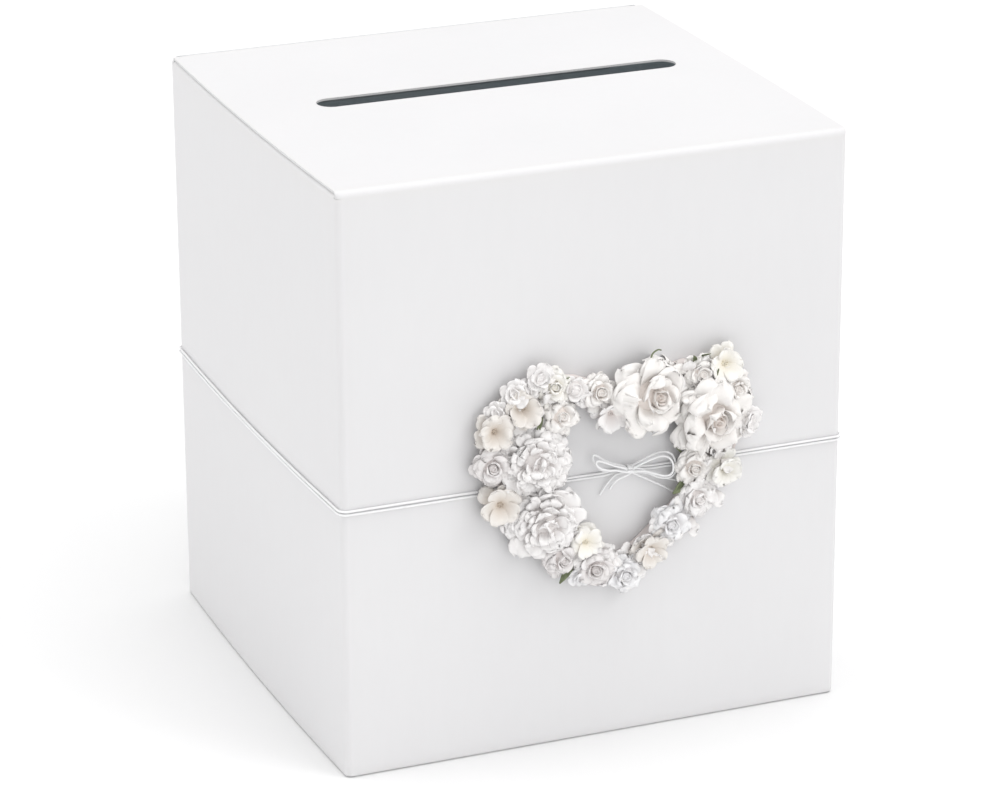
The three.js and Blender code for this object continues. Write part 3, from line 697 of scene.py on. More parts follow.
def band_solid(mesh, outer, inner, closed=False):
    """A sheet between two equal grids of points: outer face in slot 0, cut edges in 1, inner face in 2."""
    edge = 1
    outer, inner = np.asarray(outer), np.asarray(inner)
    rows, columns = outer.shape[:2]
    a = mesh.grid(outer, loop_u=closed)
    b = mesh.grid(inner, slot=2, loop_u=closed, flip=True)
    at = lambda start, i, j: start + i * columns + j % columns
    last = columns if closed else columns - 1
    for j in range(last):
        mesh.face([at(a, 0, j + 1), at(a, 0, j), at(b, 0, j), at(b, 0, j + 1)], edge)
        top = rows - 1
        mesh.face([at(a, top, j), at(a, top, j + 1), at(b, top, j + 1), at(b, top, j)], edge)
    if not closed:
        for i in range(rows - 1):
            mesh.face([at(a, i, 0), at(a, i + 1, 0), at(b, i + 1, 0), at(b, i, 0)], edge)
            end = columns - 1
            mesh.face([at(a, i + 1, end), at(a, i, end), at(b, i, end), at(b, i + 1, end)], edge)


def rim_path():
    """Plan line of the sleeve with its outward normals and, for each point, the height of its top."""
    plan = []
    tops = {"front": HEIGHT - FOLD, "side": SIDE_TOP - FLAP_FOLD, "back": HEIGHT - 0.5}
    order = (("front", "side"), ("side", "back"), ("back", "side"), ("side", "front"))
    x0, y0 = HALF_W - FOLD, HALF_D - FOLD
    runs = (
        [(x, -HALF_D, 0, -1, "front") for x in np.linspace(-x0, x0, 21)[1:-1]],
        [(HALF_W, y, 1, 0, "side") for y in np.linspace(-y0, y0, 25)[1:-1]],
        [(x, HALF_D, 0, 1, "back") for x in np.linspace(x0, -x0, 21)[1:-1]],
        [(-HALF_W, y, -1, 0, "side") for y in np.linspace(y0, -y0, 25)[1:-1]],
    )
    for run, (sx, sy, start), (before, after) in zip(runs, CORNERS, order):
        for x, y, nx, ny, wall in run:
            plan.append((x, y, nx, ny, tops[wall]))
        for i in range(9):
            a = (start + 90 * i / 8) * RAD
            nx, ny = math.cos(a), math.sin(a)
            top = tops[before] + (tops[after] - tops[before]) * (i / 8)
            plan.append((sx * x0 + FOLD * nx, sy * y0 + FOLD * ny, nx, ny, top))
    return np.array(plan)


plan = rim_path()
# the walls turn under at their bottom creases: height and how far the outer face has pulled in
bottom_round = ((0.38, 0.85), (0.6, 0.5), (0.95, 0.2), (1.6, 0.0), (6.0, 0.0))
rows = [(np.full(len(plan), z), pull) for z, pull in bottom_round]
rows += [(share * plan[:, 4], 0.0) for share in (*np.linspace(0.03, 0.985, 20), 1.0)]
outer, inner = [], []
for z, pull in rows:
    outer.append(np.stack([plan[:, 0] - plan[:, 2] * pull, plan[:, 1] - plan[:, 3] * pull, z], axis=1))
    inner.append(np.stack([plan[:, 0] - plan[:, 2] * BOARD, plan[:, 1] - plan[:, 3] * BOARD, z], axis=1))
sleeve = Mesh()
band_solid(sleeve, outer, inner, closed=True)
sleeve_obj = sleeve.build("carton_sleeve", LINED, bow_out, sharp=40)
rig.slot(sleeve_obj, "board")
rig.ride(sleeve_obj, "carton")
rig.replaces(sleeve_obj, "front_wall", "back_wall", "left_wall", "right_wall")


def strip(name, profile_outer, profile_inner, along, axis, shift=None):
    """A crease: a section in (a, z) swept along x (axis 0) or y (axis 1)."""
    m = Mesh()

    def sweep(profile):
        rows = []
        for k, (a, z) in enumerate(profile):
            t = k / (len(profile) - 1)
            row = []
            for s in along:
                off = shift(s, t) if shift else 0.0
                row.append((s, a + off, z) if axis == 0 else (a, s, z))
            rows.append(row)
        return rows

    band_solid(m, sweep(profile_outer), sweep(profile_inner))
    obj = m.build(name, LINED, bow_out, sharp=50, weld=0.001)
    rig.slot(obj, "board")
    return obj


def corner_round(x, t):
    """The crease pulls in where it runs into the rounded corner of the walls."""
    over = max(0.0, abs(x) - (HALF_W - FOLD))
    return (FOLD - math.sqrt(max(0.0, FOLD**2 - over**2))) * (1 - t)


straight = HALF_W - FOLD
near_end = LID_HALF - 0.6
across = np.concatenate([
    [-LID_HALF],
    np.linspace(-near_end, -straight, 4),
    np.linspace(-straight, straight, 21)[1:-1],
    np.linspace(straight, near_end, 4),
    [LID_HALF],
])
top_outer = arc(-HALF_D + FOLD, HEIGHT - FOLD, FOLD, 180, 90, 10)
top_inner = arc(-HALF_D + FOLD, HEIGHT - FOLD, FOLD - BOARD, 180, 90, 10)
lid_crease = strip("lid_crease", top_outer, top_inner, across, 0, corner_round)
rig.blend(
    lid_crease, "carton", "lid",
    start=(0, -HALF_D * MM, (HEIGHT - FOLD) * MM),
    end=(0, (-HALF_D + FOLD) * MM, HEIGHT * MM),
)

# Lid panel: rings of points from the slot's outline out to the panel's edges.
lid_front = -HALF_D + FOLD
tuck_tangent = FLAP_FOLD * math.tan((90 + TUCK_LEAN) / 2 * RAD)
lid_end = LID_BACK - tuck_tangent


def lid_rings():
    """Matching points round the slot and round the panel's edges: along the front, left, back and right."""
    run = SLOT_LENGTH / 2 - SLOT_WIDTH / 2
    slot_points, rim_points = [], []
    half = SLOT_WIDTH / 2
    edges = {-1: lid_front, 1: lid_end}
    for side in (-1, 1):
        # the slot's long side, run from right to left in front and from left to right behind
        for t in np.arange(24) / 24:
            slot_points.append((SLOT_X - side * run * (1 - 2 * t), SLOT_Y + side * half))
            rim_points.append((-side * LID_HALF * (1 - 2 * t), edges[side]))
        # its round end
        for t in np.arange(18) / 18:
            angle = (side * 90 - 180 * t) * RAD
            x = SLOT_X + side * run + half * math.cos(angle)
            slot_points.append((x, SLOT_Y + half * math.sin(angle)))
            rim_points.append((side * LID_HALF, edges[side] + (edges[-side] - edges[side]) * t))
    return np.array(slot_points), np.array(rim_points)


slot_ring, rim_ring = lid_rings()
lid_rows = [slot_ring + (rim_ring - slot_ring) * share for share in (0, 0.04, 0.2, 0.5, 0.8, 0.96, 1.0)]
top = [np.column_stack([row, np.full(len(row), HEIGHT)]) for row in lid_rows]
low = [p - np.array([0, 0, BOARD]) for p in top]
lid = Mesh()
band_solid(lid, top, low, closed=True)
lid_obj = lid.build("lid_board", OUTSIDE, bow_out, sharp=40, weld=0.001)
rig.slot(lid_obj, "board")
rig.ride(lid_obj, "lid")
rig.replaces(lid_obj, "lid_panel")

# Tuck flap and its crease, leaning into the box.
tuck_half_width = HALF_W - 2 * (BOARD + GAP) - 3
fold_centre = (lid_end, HEIGHT - FLAP_FOLD)
fold_outer = arc(*fold_centre, FLAP_FOLD, 90, -TUCK_LEAN, 9)
fold_inner = arc(*fold_centre, FLAP_FOLD - BOARD, 90, -TUCK_LEAN, 9)
tuck_across = np.linspace(-tuck_half_width + 1, tuck_half_width - 1, 17)
tuck_crease = strip("tuck_crease", fold_outer, fold_inner, tuck_across, 0)
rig.blend(
    tuck_crease, "lid", "tuck",
    start=(0, lid_end * MM, HEIGHT * MM),
    end=(0, fold_outer[-1][0] * MM, fold_outer[-1][1] * MM),
)
down = np.array([-math.sin(TUCK_LEAN * RAD), -math.cos(TUCK_LEAN * RAD)])
flat = TUCK_LENGTH - tuck_tangent
rows_outer, rows_inner = [], []
for t in (0, 0.08, 0.3, 0.55, 0.8, 0.94, 1.0):
    s = flat * t
    # the flap's ends taper, and its last corners are rounded off
    narrow = 1 + 16.625 * max(0.0, t - 0.4) + (2.5 if t == 1 else 0)
    xs = np.linspace(-tuck_half_width + narrow, tuck_half_width - narrow, 17)
    o = np.array(fold_outer[-1]) + down * s
    i = np.array(fold_inner[-1]) + down * s
    rows_outer.append([(x, o[0], o[1]) for x in xs])
    rows_inner.append([(x, i[0], i[1]) for x in xs])
tuck = Mesh()
band_solid(tuck, rows_outer, rows_inner)
tuck_obj = tuck.build("tuck_board", OUTSIDE, sharp=40)
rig.slot(tuck_obj, "board")
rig.ride(tuck_obj, "tuck")
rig.replaces(tuck_obj, "tuck_flap")

# Dust flaps and their creases.
dust_front, dust_back = -HALF_D + FOLD + 3, HALF_D - 8
for side, body, node in ((-1, "dust_left", "dust_flap_left"), (1, "dust_right", "dust_flap_right")):
    centre = (side * (HALF_W - FLAP_FOLD), SIDE_TOP - FLAP_FOLD)
    a0 = 180 if side < 0 else 0
    section_outer = arc(*centre, FLAP_FOLD, a0, 90, 9)
    section_inner = arc(*centre, FLAP_FOLD - BOARD, a0, 90, 9)
    ys = np.linspace(-HALF_D + 2.3, HALF_D - 5, 25)
    crease = strip(f"{body}_crease", section_outer, section_inner, ys, 1)
    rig.blend(
        crease, "carton", body,
        start=(side * HALF_W * MM, 0, (SIDE_TOP - FLAP_FOLD) * MM),
        end=(side * (HALF_W - FLAP_FOLD) * MM, 0, SIDE_TOP * MM),
    )
    m = Mesh()
    outer, inner = [], []
    for t in (0, 0.1, 0.4, 0.7, 0.92, 1.0):
        reach = (DUST_REACH - FLAP_FOLD) * t
        x = side * (HALF_W - FLAP_FOLD - reach)
        y_from, y_to = dust_front + 1.2 * reach, dust_back - 0.35 * reach
        ys = np.linspace(y_from, y_to, 25)
        outer.append([(x, y, SIDE_TOP) for y in ys])
        inner.append([(x, y, SIDE_TOP - BOARD) for y in ys])
    band_solid(m, outer, inner)
    obj = m.build(f"{body}_board", OUTSIDE, bow_out, sharp=40, weld=0.001)
    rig.slot(obj, "board")
    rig.ride(obj, body)
    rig.replaces(obj, node)

# Plain board pieces hidden inside and below keep their CAD shape.
for node in ("glue_flap", "bottom_flap_front", "bottom_flap_back", "bottom_flap_left", "bottom_flap_right"):
    piece = frame["nodes"][node]
    piece.data.materials.clear()
    piece.data.materials.append(BOARD_M)


# ---- Paper flowers ----
def petal(m, phi, r0, z0, a0, a1, length, width, rng, wrap=1.0, power=1.0, curl=0.0, roll=0.0, cup=0.0,
          ruffle=0.0, waves=2.0, phase=0.0, nu=7, nv=7, point=0.0, tone0=0.0, tone1=1.0,
          fold=0.0, jag=0.05, skew=0.0, crumple=0.03, notch=0.0):
    """One petal round the +Z axis, at the angle phi, with its foot at r0 and z0.

    a0 and a1 are its angles from the axis at its foot and its tip. wrap bends it round the axis, curl turns
    its tip out and roll its sides, cup hollows it, fold creases it down the middle, ruffle and waves make
    its rim wavy, jag and notch tear and nick the rim, skew leans it and crumple dents it.
    """
    k = np.linspace(0, 1, nv)
    v = 1 - (1 - k) ** 1.5
    u = np.linspace(-1, 1, nu)[None, :]
    fine = np.linspace(0, 1, 41)
    angle = a0 + (a1 - a0) * fine**power
    dr = np.concatenate([[0], np.cumsum((np.sin(angle[1:]) + np.sin(angle[:-1])) / 2)]) / 40 * length
    dz = np.concatenate([[0], np.cumsum((np.cos(angle[1:]) + np.cos(angle[:-1])) / 2)]) / 40 * length
    beyond = np.clip((v - 0.45) / 0.55, 0, 1)
    half = width / 2 * (v + 0.1) ** 0.55 * np.sqrt(np.clip(1 - beyond ** (3 - 1.6 * point), 0.0, 1))
    v, half = v[:, None], half[:, None]
    ragged = np.array([[rng.uniform(0, 1) for _ in range(nu)]])
    nick = notch * np.exp(-((u / 0.28) ** 2))
    reachv = np.clip(v * (1 - (jag * ragged + nick) * v**3) + skew * u * v**2 * 0.5, 0, 1)
    r = r0 + np.interp(reachv, fine, dr)
    z = z0 + np.interp(reachv, fine, dz)
    theta = np.interp(reachv, fine, angle)
    side = half * u
    reach = np.maximum(r, 0.18 * width)
    wrapped = phi + side / reach
    x = wrap * r * np.cos(wrapped) + (1 - wrap) * (r * math.cos(phi) - side * math.sin(phi))
    y = wrap * r * np.sin(wrapped) + (1 - wrap) * (r * math.sin(phi) + side * math.cos(phi))
    out = curl * length * np.clip(v - 0.62, 0, 1) ** 2 * 3
    out = out + roll * width * np.clip(np.abs(u) - 0.45, 0, 1) ** 2 * v
    out = out - cup * width * u**2 * np.sin(np.clip(v, 0, 1) * math.pi * 0.85)
    out = out + fold * width * (np.abs(u - 0.25 * skew) - 0.4) * v**1.5
    out = out + ruffle * width * np.sin(waves * math.pi * u + phase) * v**2
    bend = rng.uniform(0, 6), rng.uniform(0, 6)
    out = out + crumple * width * np.sin(3.1 * u + bend[0]) * np.sin(4.3 * v + bend[1]) * v
    out = out + 0.025 * width * np.sin(5.4 * u + bend[1]) * v**4
    out = out + 0.012 * width * np.array([[rng.uniform(-1, 1) for _ in range(nu)] for _ in range(nv)]) * v
    n_r, n_z = np.cos(theta), -np.sin(theta)
    x = x + out * n_r * math.cos(phi)
    y = y + out * n_r * math.sin(phi)
    z = z + out * n_z
    tone = tone0 + (tone1 - tone0) * np.clip(v * 0.85 + 0.15 * np.abs(u), 0, 1)
    m.grid(np.stack([x, y, z], axis=2), tone)


def spoke(i, count, start, jitter, rng):
    """The angle of petal i of a ring, a little off its even place."""
    return start + i * TURN / count + rng.uniform(-jitter, jitter)


def ring_petals(rings, start, step, jitter, rng):
    """For each petal of each ring: the ring's number, the petal's angle and the ring's own values."""
    for ring, (count, *values) in enumerate(rings):
        for i in range(count):
            yield ring, spoke(i, count, start + step * ring, jitter, rng), *values


def spiral(m, radius, low, high, turns, phase, tone):
    """The rolled heart of a rose."""
    a = np.linspace(0, turns * TURN, int(18 * turns))
    r = radius * (0.16 + 0.84 * (a / a[-1]))
    levels = np.linspace(0, 1, 6)[:, None]
    crest = high * (0.93 + 0.07 * np.sin(a * 1.3 + phase))
    z = low + (crest - low) * levels
    flare = 1 + 0.16 * levels**3 - 0.1 * levels * (1 - levels)
    x = r * flare * np.cos(a + phase)
    y = r * flare * np.sin(a + phase)
    # painted shade: the spiral darkens towards its foot
    m.grid(np.stack([x, y, z + 0 * x], axis=2), tone * (0.3 + 0.7 * levels) + 0 * x)
    core(m, radius, low + 0.5 * (high - low), low + 0.74 * (high - low), tone * 0.6)


def core(m, radius, low, high, tone=0.3):
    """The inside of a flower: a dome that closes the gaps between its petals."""
    share = np.linspace(0.02, 1, 7)[:, None]
    a = np.linspace(0, TURN, 25)[None]
    z = low + (high - low) * (1 - share**2) + 0 * a
    # painted shade: the dome takes a low tone, dark as the shade between the petals
    m.grid(np.stack([radius * share * np.cos(a), radius * share * np.sin(a), z], axis=2), tone)


def skirt(m, R, H, rng, count, reach, turn0=0.0):
    """Loose outer petals that fill the room between one flower and the next."""
    for i in range(count):
        phi = spoke(i, count, turn0, 0.3, rng)
        petal(
            m, phi, 0.12 * R, rng.uniform(0.0, 0.1) * H, 62 * RAD, (86 + rng.uniform(-14, 12)) * RAD,
            reach * R * rng.uniform(0.85, 1.08), 1.05 * R * rng.uniform(0.85, 1.15),
            wrap=0.15, power=0.7, curl=rng.uniform(-0.08, 0.12), roll=rng.uniform(0, 0.2),
            cup=rng.uniform(-0.05, 0.1), ruffle=rng.uniform(0.01, 0.05), waves=rng.uniform(1, 2.5),
            phase=rng.uniform(0, 6), nu=9, nv=8, point=rng.uniform(0, 1.1), tone0=0.1, tone1=0.95, rng=rng,
            fold=rng.uniform(-0.05, 0.2), jag=0.1, skew=rng.uniform(-0.3, 0.3), crumple=0.05,
        )


def small_rose(m, R, H, rng):
    """A tight heart with broad, angular petals that fold over at their rims."""
    turn0 = rng.uniform(0, 6.28)
    core(m, 0.78 * R, 0.12 * H, 0.62 * H)
    spiral(m, 0.23 * R, 0.35 * H, 0.98 * H, 1.7, turn0, 0.8)
    rings = (
        (3, 4, 12, 0.82 * H, 1.15 * R, 0.25, 0.07),
        (3, 16, 42, 0.88 * H, 1.45 * R, 0.27, 0.24),
        (4, 36, 72, 0.95 * R, 1.5 * R, 0.22, 0.3),
        (4, 56, 96, 1.02 * R, 1.5 * R, 0.16, 0.18),
    )
    for ring, phi, a0, a1, length, width, base, curl in ring_petals(rings, turn0, 0.9, 0.3, rng):
        petal(
            m, phi, base * R, (0.22 - 0.05 * ring) * H + rng.uniform(0, 0.04) * H,
            (a0 + rng.uniform(-4, 4)) * RAD, (a1 + rng.uniform(-16, 12)) * RAD,
            length * rng.uniform(0.86, 1.1), width * rng.uniform(0.82, 1.1),
            wrap=0.85 - 0.17 * ring, power=0.9, curl=curl * rng.uniform(0.4, 1.4),
            roll=rng.uniform(0.05, 0.35), ruffle=0.015 + 0.016 * ring, waves=rng.uniform(1.2, 2.8),
            phase=rng.uniform(0, 6), nu=11, nv=10, point=rng.uniform(0.3, 1.3),
            tone0=0.3 + 0.1 * ring, tone1=0.8 + 0.07 * ring, rng=rng,
            fold=rng.uniform(-0.04, 0.2) * min(ring, 1), skew=rng.uniform(-0.3, 0.3), jag=0.09,
            crumple=0.02 + 0.015 * ring,
        )
    skirt(m, R, H, rng, 5, 1.2, turn0 + 0.5)


def large_rose(m, R, H, rng):
    """A wide-open rose of crumpled petals, some of them folded down the middle."""
    turn0 = rng.uniform(0, 6.28)
    core(m, 0.72 * R, 0.1 * H, 0.6 * H)
    spiral(m, 0.14 * R, 0.2 * H, 0.9 * H, 1.7, turn0, 0.3)
    rings = (
        (3, 4, 10, 0.68 * H, 0.66 * R, 0.15, 0.08, 0.03),
        (3, 12, 30, 0.8 * H, 1.0 * R, 0.19, 0.16, 0.04),
        (4, 24, 54, 0.8 * R, 1.25 * R, 0.22, 0.24, 0.05),
        (4, 38, 74, 0.92 * R, 1.45 * R, 0.2, 0.28, 0.06),
        (5, 52, 90, 0.98 * R, 1.45 * R, 0.16, 0.2, 0.06),
        (5, 62, 100, 1.02 * R, 1.35 * R, 0.12, 0.1, 0.06),
    )
    for ring, phi, a0, a1, length, width, base, curl, wavy in ring_petals(rings, turn0, 0.75, 0.3, rng):
        creased = rng.random() < 0.55 and ring > 1
        petal(
            m, phi, base * R, (0.22 - 0.04 * ring) * H + rng.uniform(-0.02, 0.05) * H,
            (a0 + rng.uniform(-6, 6)) * RAD, (a1 + rng.uniform(-20, 12)) * RAD,
            length * rng.uniform(0.88, 1.08), width * rng.uniform(0.85, 1.15),
            wrap=0.65 - 0.11 * ring, power=0.85, curl=curl * rng.uniform(0.3, 1.6),
            roll=rng.uniform(0.05, 0.4), cup=0.04, ruffle=wavy * rng.uniform(0.4, 1.5),
            waves=rng.uniform(1.0, 2.8), phase=rng.uniform(0, 6), nu=15, nv=13,
            point=rng.uniform(0.8, 1.3) if creased else rng.uniform(0.0, 0.8),
            tone0=0.2 + 0.08 * ring, tone1=0.7 + 0.07 * ring, rng=rng,
            fold=rng.uniform(0.22, 0.4) if creased else rng.uniform(-0.06, 0.12),
            skew=rng.uniform(-0.35, 0.35), crumple=0.075, jag=0.12,
        )
    skirt(m, R, H, rng, 6, 0.98, turn0)


GOLDEN_ANGLE = 2.399963


def carnation(m, R, H, rng):
    """A pompon of broad notched petals standing off a dome."""
    core(m, 0.6 * R, 0.1 * H, 0.68 * H, 0.5)
    count = 54
    for i in range(count):
        # the petals follow one another in a spiral from the crown down to the wall
        share = (i + 0.5) / count
        spread = 98 * share**0.52
        phi = i * GOLDEN_ANGLE + rng.uniform(-0.3, 0.3)
        dome = min(spread, 90) * RAD
        upright = max(0.0, 1 - spread / 34)
        tip = spread * 0.98 + rng.uniform(14, 44) * (1 - 1.3 * upright)
        petal(
            m, phi, 0.46 * R * math.sin(dome), (0.16 + 0.42 * math.cos(dome)) * H,
            (spread * 0.7 - 8 - 10 * upright) * RAD, tip * RAD,
            (0.38 + 0.24 * share) * R * rng.uniform(0.85, 1.12),
            (0.52 + 0.16 * share) * R * rng.uniform(0.8, 1.2),
            wrap=0.15, power=0.8, curl=rng.uniform(-0.04, 0.2), roll=rng.uniform(-0.1, 0.25),
            cup=rng.uniform(0, 0.1), ruffle=rng.uniform(0.02, 0.08), waves=rng.uniform(1.2, 3.2),
            phase=rng.uniform(0, 6), nu=11, nv=9, point=rng.uniform(-0.1, 0.8),
            tone0=0.45, tone1=0.9 + 0.1 * share, rng=rng, fold=rng.uniform(-0.08, 0.26),
            jag=rng.uniform(0.08, 0.3), skew=rng.uniform(-0.35, 0.35), crumple=0.06,
            notch=rng.uniform(0, 0.12),
        )
    skirt(m, R, H, rng, 8, 1.0)


def pips(m, count, spread, height, size, rng):
    """A tuft of small round stamens."""
    for i in range(count):
        a = i * 2.4
        r = spread * math.sqrt(i / count)
        lat = np.linspace(0.15, math.pi - 0.15, 5)[:, None]
        lon = np.linspace(0, TURN, 7)[None, :-1]
        s = size * rng.uniform(0.8, 1.2)
        x = r * math.cos(a) + s * np.sin(lat) * np.cos(lon)
        y = r * math.sin(a) + s * np.sin(lat) * np.sin(lon)
        z = height - 0.25 * r + s * np.cos(lat) + 0 * lon
        start = m.grid(np.stack([x, y, z], axis=2), 0.0, loop_u=True)
        m.face(range(start, start + 6))
        m.face(range(start + 29, start + 23, -1))


def blossom(m, R, H, rng):
    """Five broad notched petals round a small heart of stamens."""
    turn0 = rng.uniform(0, 6.28)
    for i in range(5):
        phi = spoke(i, 5, turn0, 0.16, rng)
        petal(
            m, phi, 0.06 * R, 0.24 * H + 0.03 * H * i, 32 * RAD, (80 + rng.uniform(-26, 14)) * RAD,
            1.03 * R * rng.uniform(0.9, 1.06), 1.12 * R * rng.uniform(0.9, 1.1),
            wrap=0.15, power=0.75, curl=rng.uniform(-0.1, 0.2), roll=rng.uniform(0, 0.25), cup=0.09,
            ruffle=rng.uniform(0.02, 0.06), waves=rng.uniform(1, 2.6),
            phase=rng.uniform(0, 6), nu=13, nv=11, point=rng.uniform(-0.2, 0.8), rng=rng,
            crumple=0.06, skew=rng.uniform(-0.25, 0.25), jag=rng.uniform(0.04, 0.12),
            fold=rng.uniform(-0.04, 0.16), notch=rng.uniform(0.0, 0.14),
        )
    skirt(m, R, H, rng, 5, 1.02, turn0 + 0.6)
    pips(m, 7, 0.12 * R, 0.46 * H, 0.06 * R + 0.1, rng)


def closed_bud(m, R, H, rng):
    """A rosebud with its outer petals just coming away."""
    turn0 = rng.uniform(0, 6.28)
    core(m, 0.62 * R, 0.2 * H, 0.86 * H, 0.6)
    spiral(m, 0.26 * R, 0.45 * H, 0.95 * H, 1.4, turn0, 0.8)
    rings = ((3, 30, 4, 0.9), (4, 48, 30, 1.0), (4, 64, 70, 0.85))
    for ring, phi, a0, a1, length in ring_petals(rings, turn0, 0.8, 0.12, rng):
        petal(
            m, phi, 0.2 * R, 0.12 * H, a0 * RAD, (a1 + rng.uniform(-8, 12)) * RAD,
            length * H * 0.86 * rng.uniform(0.9, 1.05), 1.3 * R * rng.uniform(0.9, 1.1),
            wrap=0.8 - 0.2 * ring, power=0.7, curl=0.06 + 0.08 * ring, roll=0.1, ruffle=0.02, waves=2,
            phase=rng.uniform(0, 6), nu=9, nv=8, tone0=0.3, tone1=0.95, rng=rng, jag=0.08,
            point=rng.uniform(0, 0.8),
        )


def loose(m, R, H, rng):
    """A soft cluster of rounded petals with no open heart."""
    turn0 = rng.uniform(0, 6.28)
    core(m, 0.6 * R, 0.1 * H, 0.66 * H, 0.7)
    rings = ((2, 6, 24, 0.62), (3, 20, 58, 0.85), (5, 44, 88, 1.0))
    for ring, phi, a0, a1, length in ring_petals(rings, turn0, 0.9, 0.25, rng):
        petal(
            m, phi, 0.12 * R, (0.3 - 0.08 * ring) * H, (a0 + rng.uniform(-6, 6)) * RAD,
            (a1 + rng.uniform(-16, 12)) * RAD,
            length * R * rng.uniform(0.9, 1.08), 1.25 * R * rng.uniform(0.85, 1.1),
            wrap=0.3, power=0.8, curl=rng.uniform(-0.08, 0.15), roll=rng.uniform(0, 0.2), cup=0.08,
            ruffle=rng.uniform(0.01, 0.05), waves=rng.uniform(1, 2.4), phase=rng.uniform(0, 6),
            nu=11, nv=9, point=rng.uniform(-0.3, 0.5), tone0=0.5, rng=rng, crumple=0.05,
            skew=rng.uniform(-0.2, 0.2), notch=rng.uniform(0, 0.1),
        )


MAKERS = {
    "rose": small_rose,
    "large": large_rose,
    "carnation": carnation,
    "blossom": blossom,
    "bud": closed_bud,
    "loose": loose,
}

# node, kind, x and z from the heart's middle, radius, height, lean to the right, tilt up, tint
FLOWERS = [
    ("rose_large_top", "large", 13.2, 36.8, 17.8, 17, 16, 2, "warm"),
    ("rose_large_right", "large", 43, 23.2, 18.5, 17, 10, -10, "warm"),
    ("carnation_upper", "carnation", -40.4, 13.4, 16.8, 14.5, -4, 4, "white"),
    ("carnation_lower", "carnation", -36.6, -15.4, 17.8, 14.5, -6, -8, "white"),
    ("rose_01", "rose", -31.8, 46.6, 7.6, 9.5, -4, 10, "ivory"),
    ("rose_02", "rose", -10.6, 41.4, 8, 9.5, 4, 6, "warm"),
    ("rose_03", "rose", 38.8, 42.6, 8, 9, 0, 8, "warm"),
    ("rose_04", "rose", 55.2, 33.9, 7.8, 9.5, 8, 4, "warm"),
    ("rose_05", "rose", 35.9, 0.1, 8, 9.5, -6, -6, "warm"),
    ("rose_06", "rose", 37.2, -15.2, 8.6, 9.5, 4, -4, "white"),
    ("rose_07", "rose", 24.4, -25.6, 9, 10, 0, -4, "cool"),
    ("rose_08", "rose", 2.1, -46.3, 8.6, 10, 0, -8, "cool"),
    # rose_09, rose_10 and rose_11 take the white paper darkened as painted shade
    ("rose_09", "rose", -11.9, -41.2, 8.8, 10, -6, -6, "grey"),
    ("rose_10", "rose", -28.7, -34.4, 8, 9.5, 6, -6, "grey"),
    ("rose_11", "rose", -60.4, 14.2, 8.2, 10, -10, 0, "grey"),
    ("rose_12", "rose", -29.1, 32.9, 8, 9.5, 4, 6, "warm"),
    ("rosebud_01", "bud", -21.6, 44.4, 5.8, 9, 0, 6, "white"),
    ("blossom_01", "blossom", -45.9, 39, 10, 8.5, -14, 8, "cream"),
    ("blossom_02", "blossom", -59.4, 30.2, 10, 8, -8, 2, "cream"),
    ("blossom_03", "blossom", -56.8, -4.2, 10.2, 8, -8, -4, "cream"),
    ("blossom_04", "blossom", -16.5, -28.6, 8.4, 8.5, 0, 4, "ivory"),
    ("blossom_05", "blossom", 14, -36.4, 9.4, 8, 10, -14, "cream"),
    ("blossom_06", "blossom", 50.4, -3.4, 9, 8, 8, -8, "green"),
    ("blossom_07", "blossom", 50, 46, 9.2, 8.5, 0, 8, "ivory"),
    ("blossom_08", "blossom", -4.7, 31.9, 9, 8, 0, -20, "white"),
    ("bud_01", "loose", -37.5, 51.2, 7, 8.5, -8, 14, "white"),
    ("bud_02", "loose", -49.2, 45.6, 6.8, 8, -18, 16, "white"),
    ("bud_03", "loose", -43.6, 46.4, 5.6, 8.4, -8, 16, "white"),
    ("bud_04", "loose", 60.4, 18.2, 8.2, 10, 24, -4, "white"),
    ("petals_01", "loose", -57.2, 37.4, 6, 7.5, -24, 14, "white"),
    ("petals_02", "loose", -18.6, -44.6, 5.4, 7, -8, -16, "cool"),
]
PETAL_START = 4.7  # from the wall to the flowers' feet
RELIEF = 0.8  # how much of a flower's height its petals take up


def give_paper_thickness(obj):
    thick = obj.modifiers.new("paper", "SOLIDIFY")
    thick.thickness = PAPER * MM
    thick.offset = 0


def flower_place(x, z, lean, tilt):
    """Moves points from a flower's own frame, with its axis along +Z, to its place on the wall."""
    turn = Matrix.Rotation(lean * RAD, 3, "Z") @ Matrix.Rotation(-tilt * RAD, 3, "X")
    stand = Matrix(((1, 0, 0), (0, 0, -1), (0, 1, 0)))
    a = np.array(turn @ stand)
    at = np.array([WREATH_X + x, -HALF_D - PETAL_START, WREATH_Z + z])
    return lambda v: v @ a.T + at


for index, (node, kind, x, z, radius, height, lean, tilt, tint) in enumerate(FLOWERS):
    rng = random.Random(100 + index)
    m = Mesh()
    MAKERS[kind](m, radius, RELIEF * height, rng)
    obj = m.build(f"{node}_petals", [PETAL[tint]], flower_place(x, z, lean, tilt))
    give_paper_thickness(obj)
    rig.slot(obj, "cream" if tint == "cream" else "petal")
    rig.ride(obj, "carton")
    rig.replaces(obj, node)


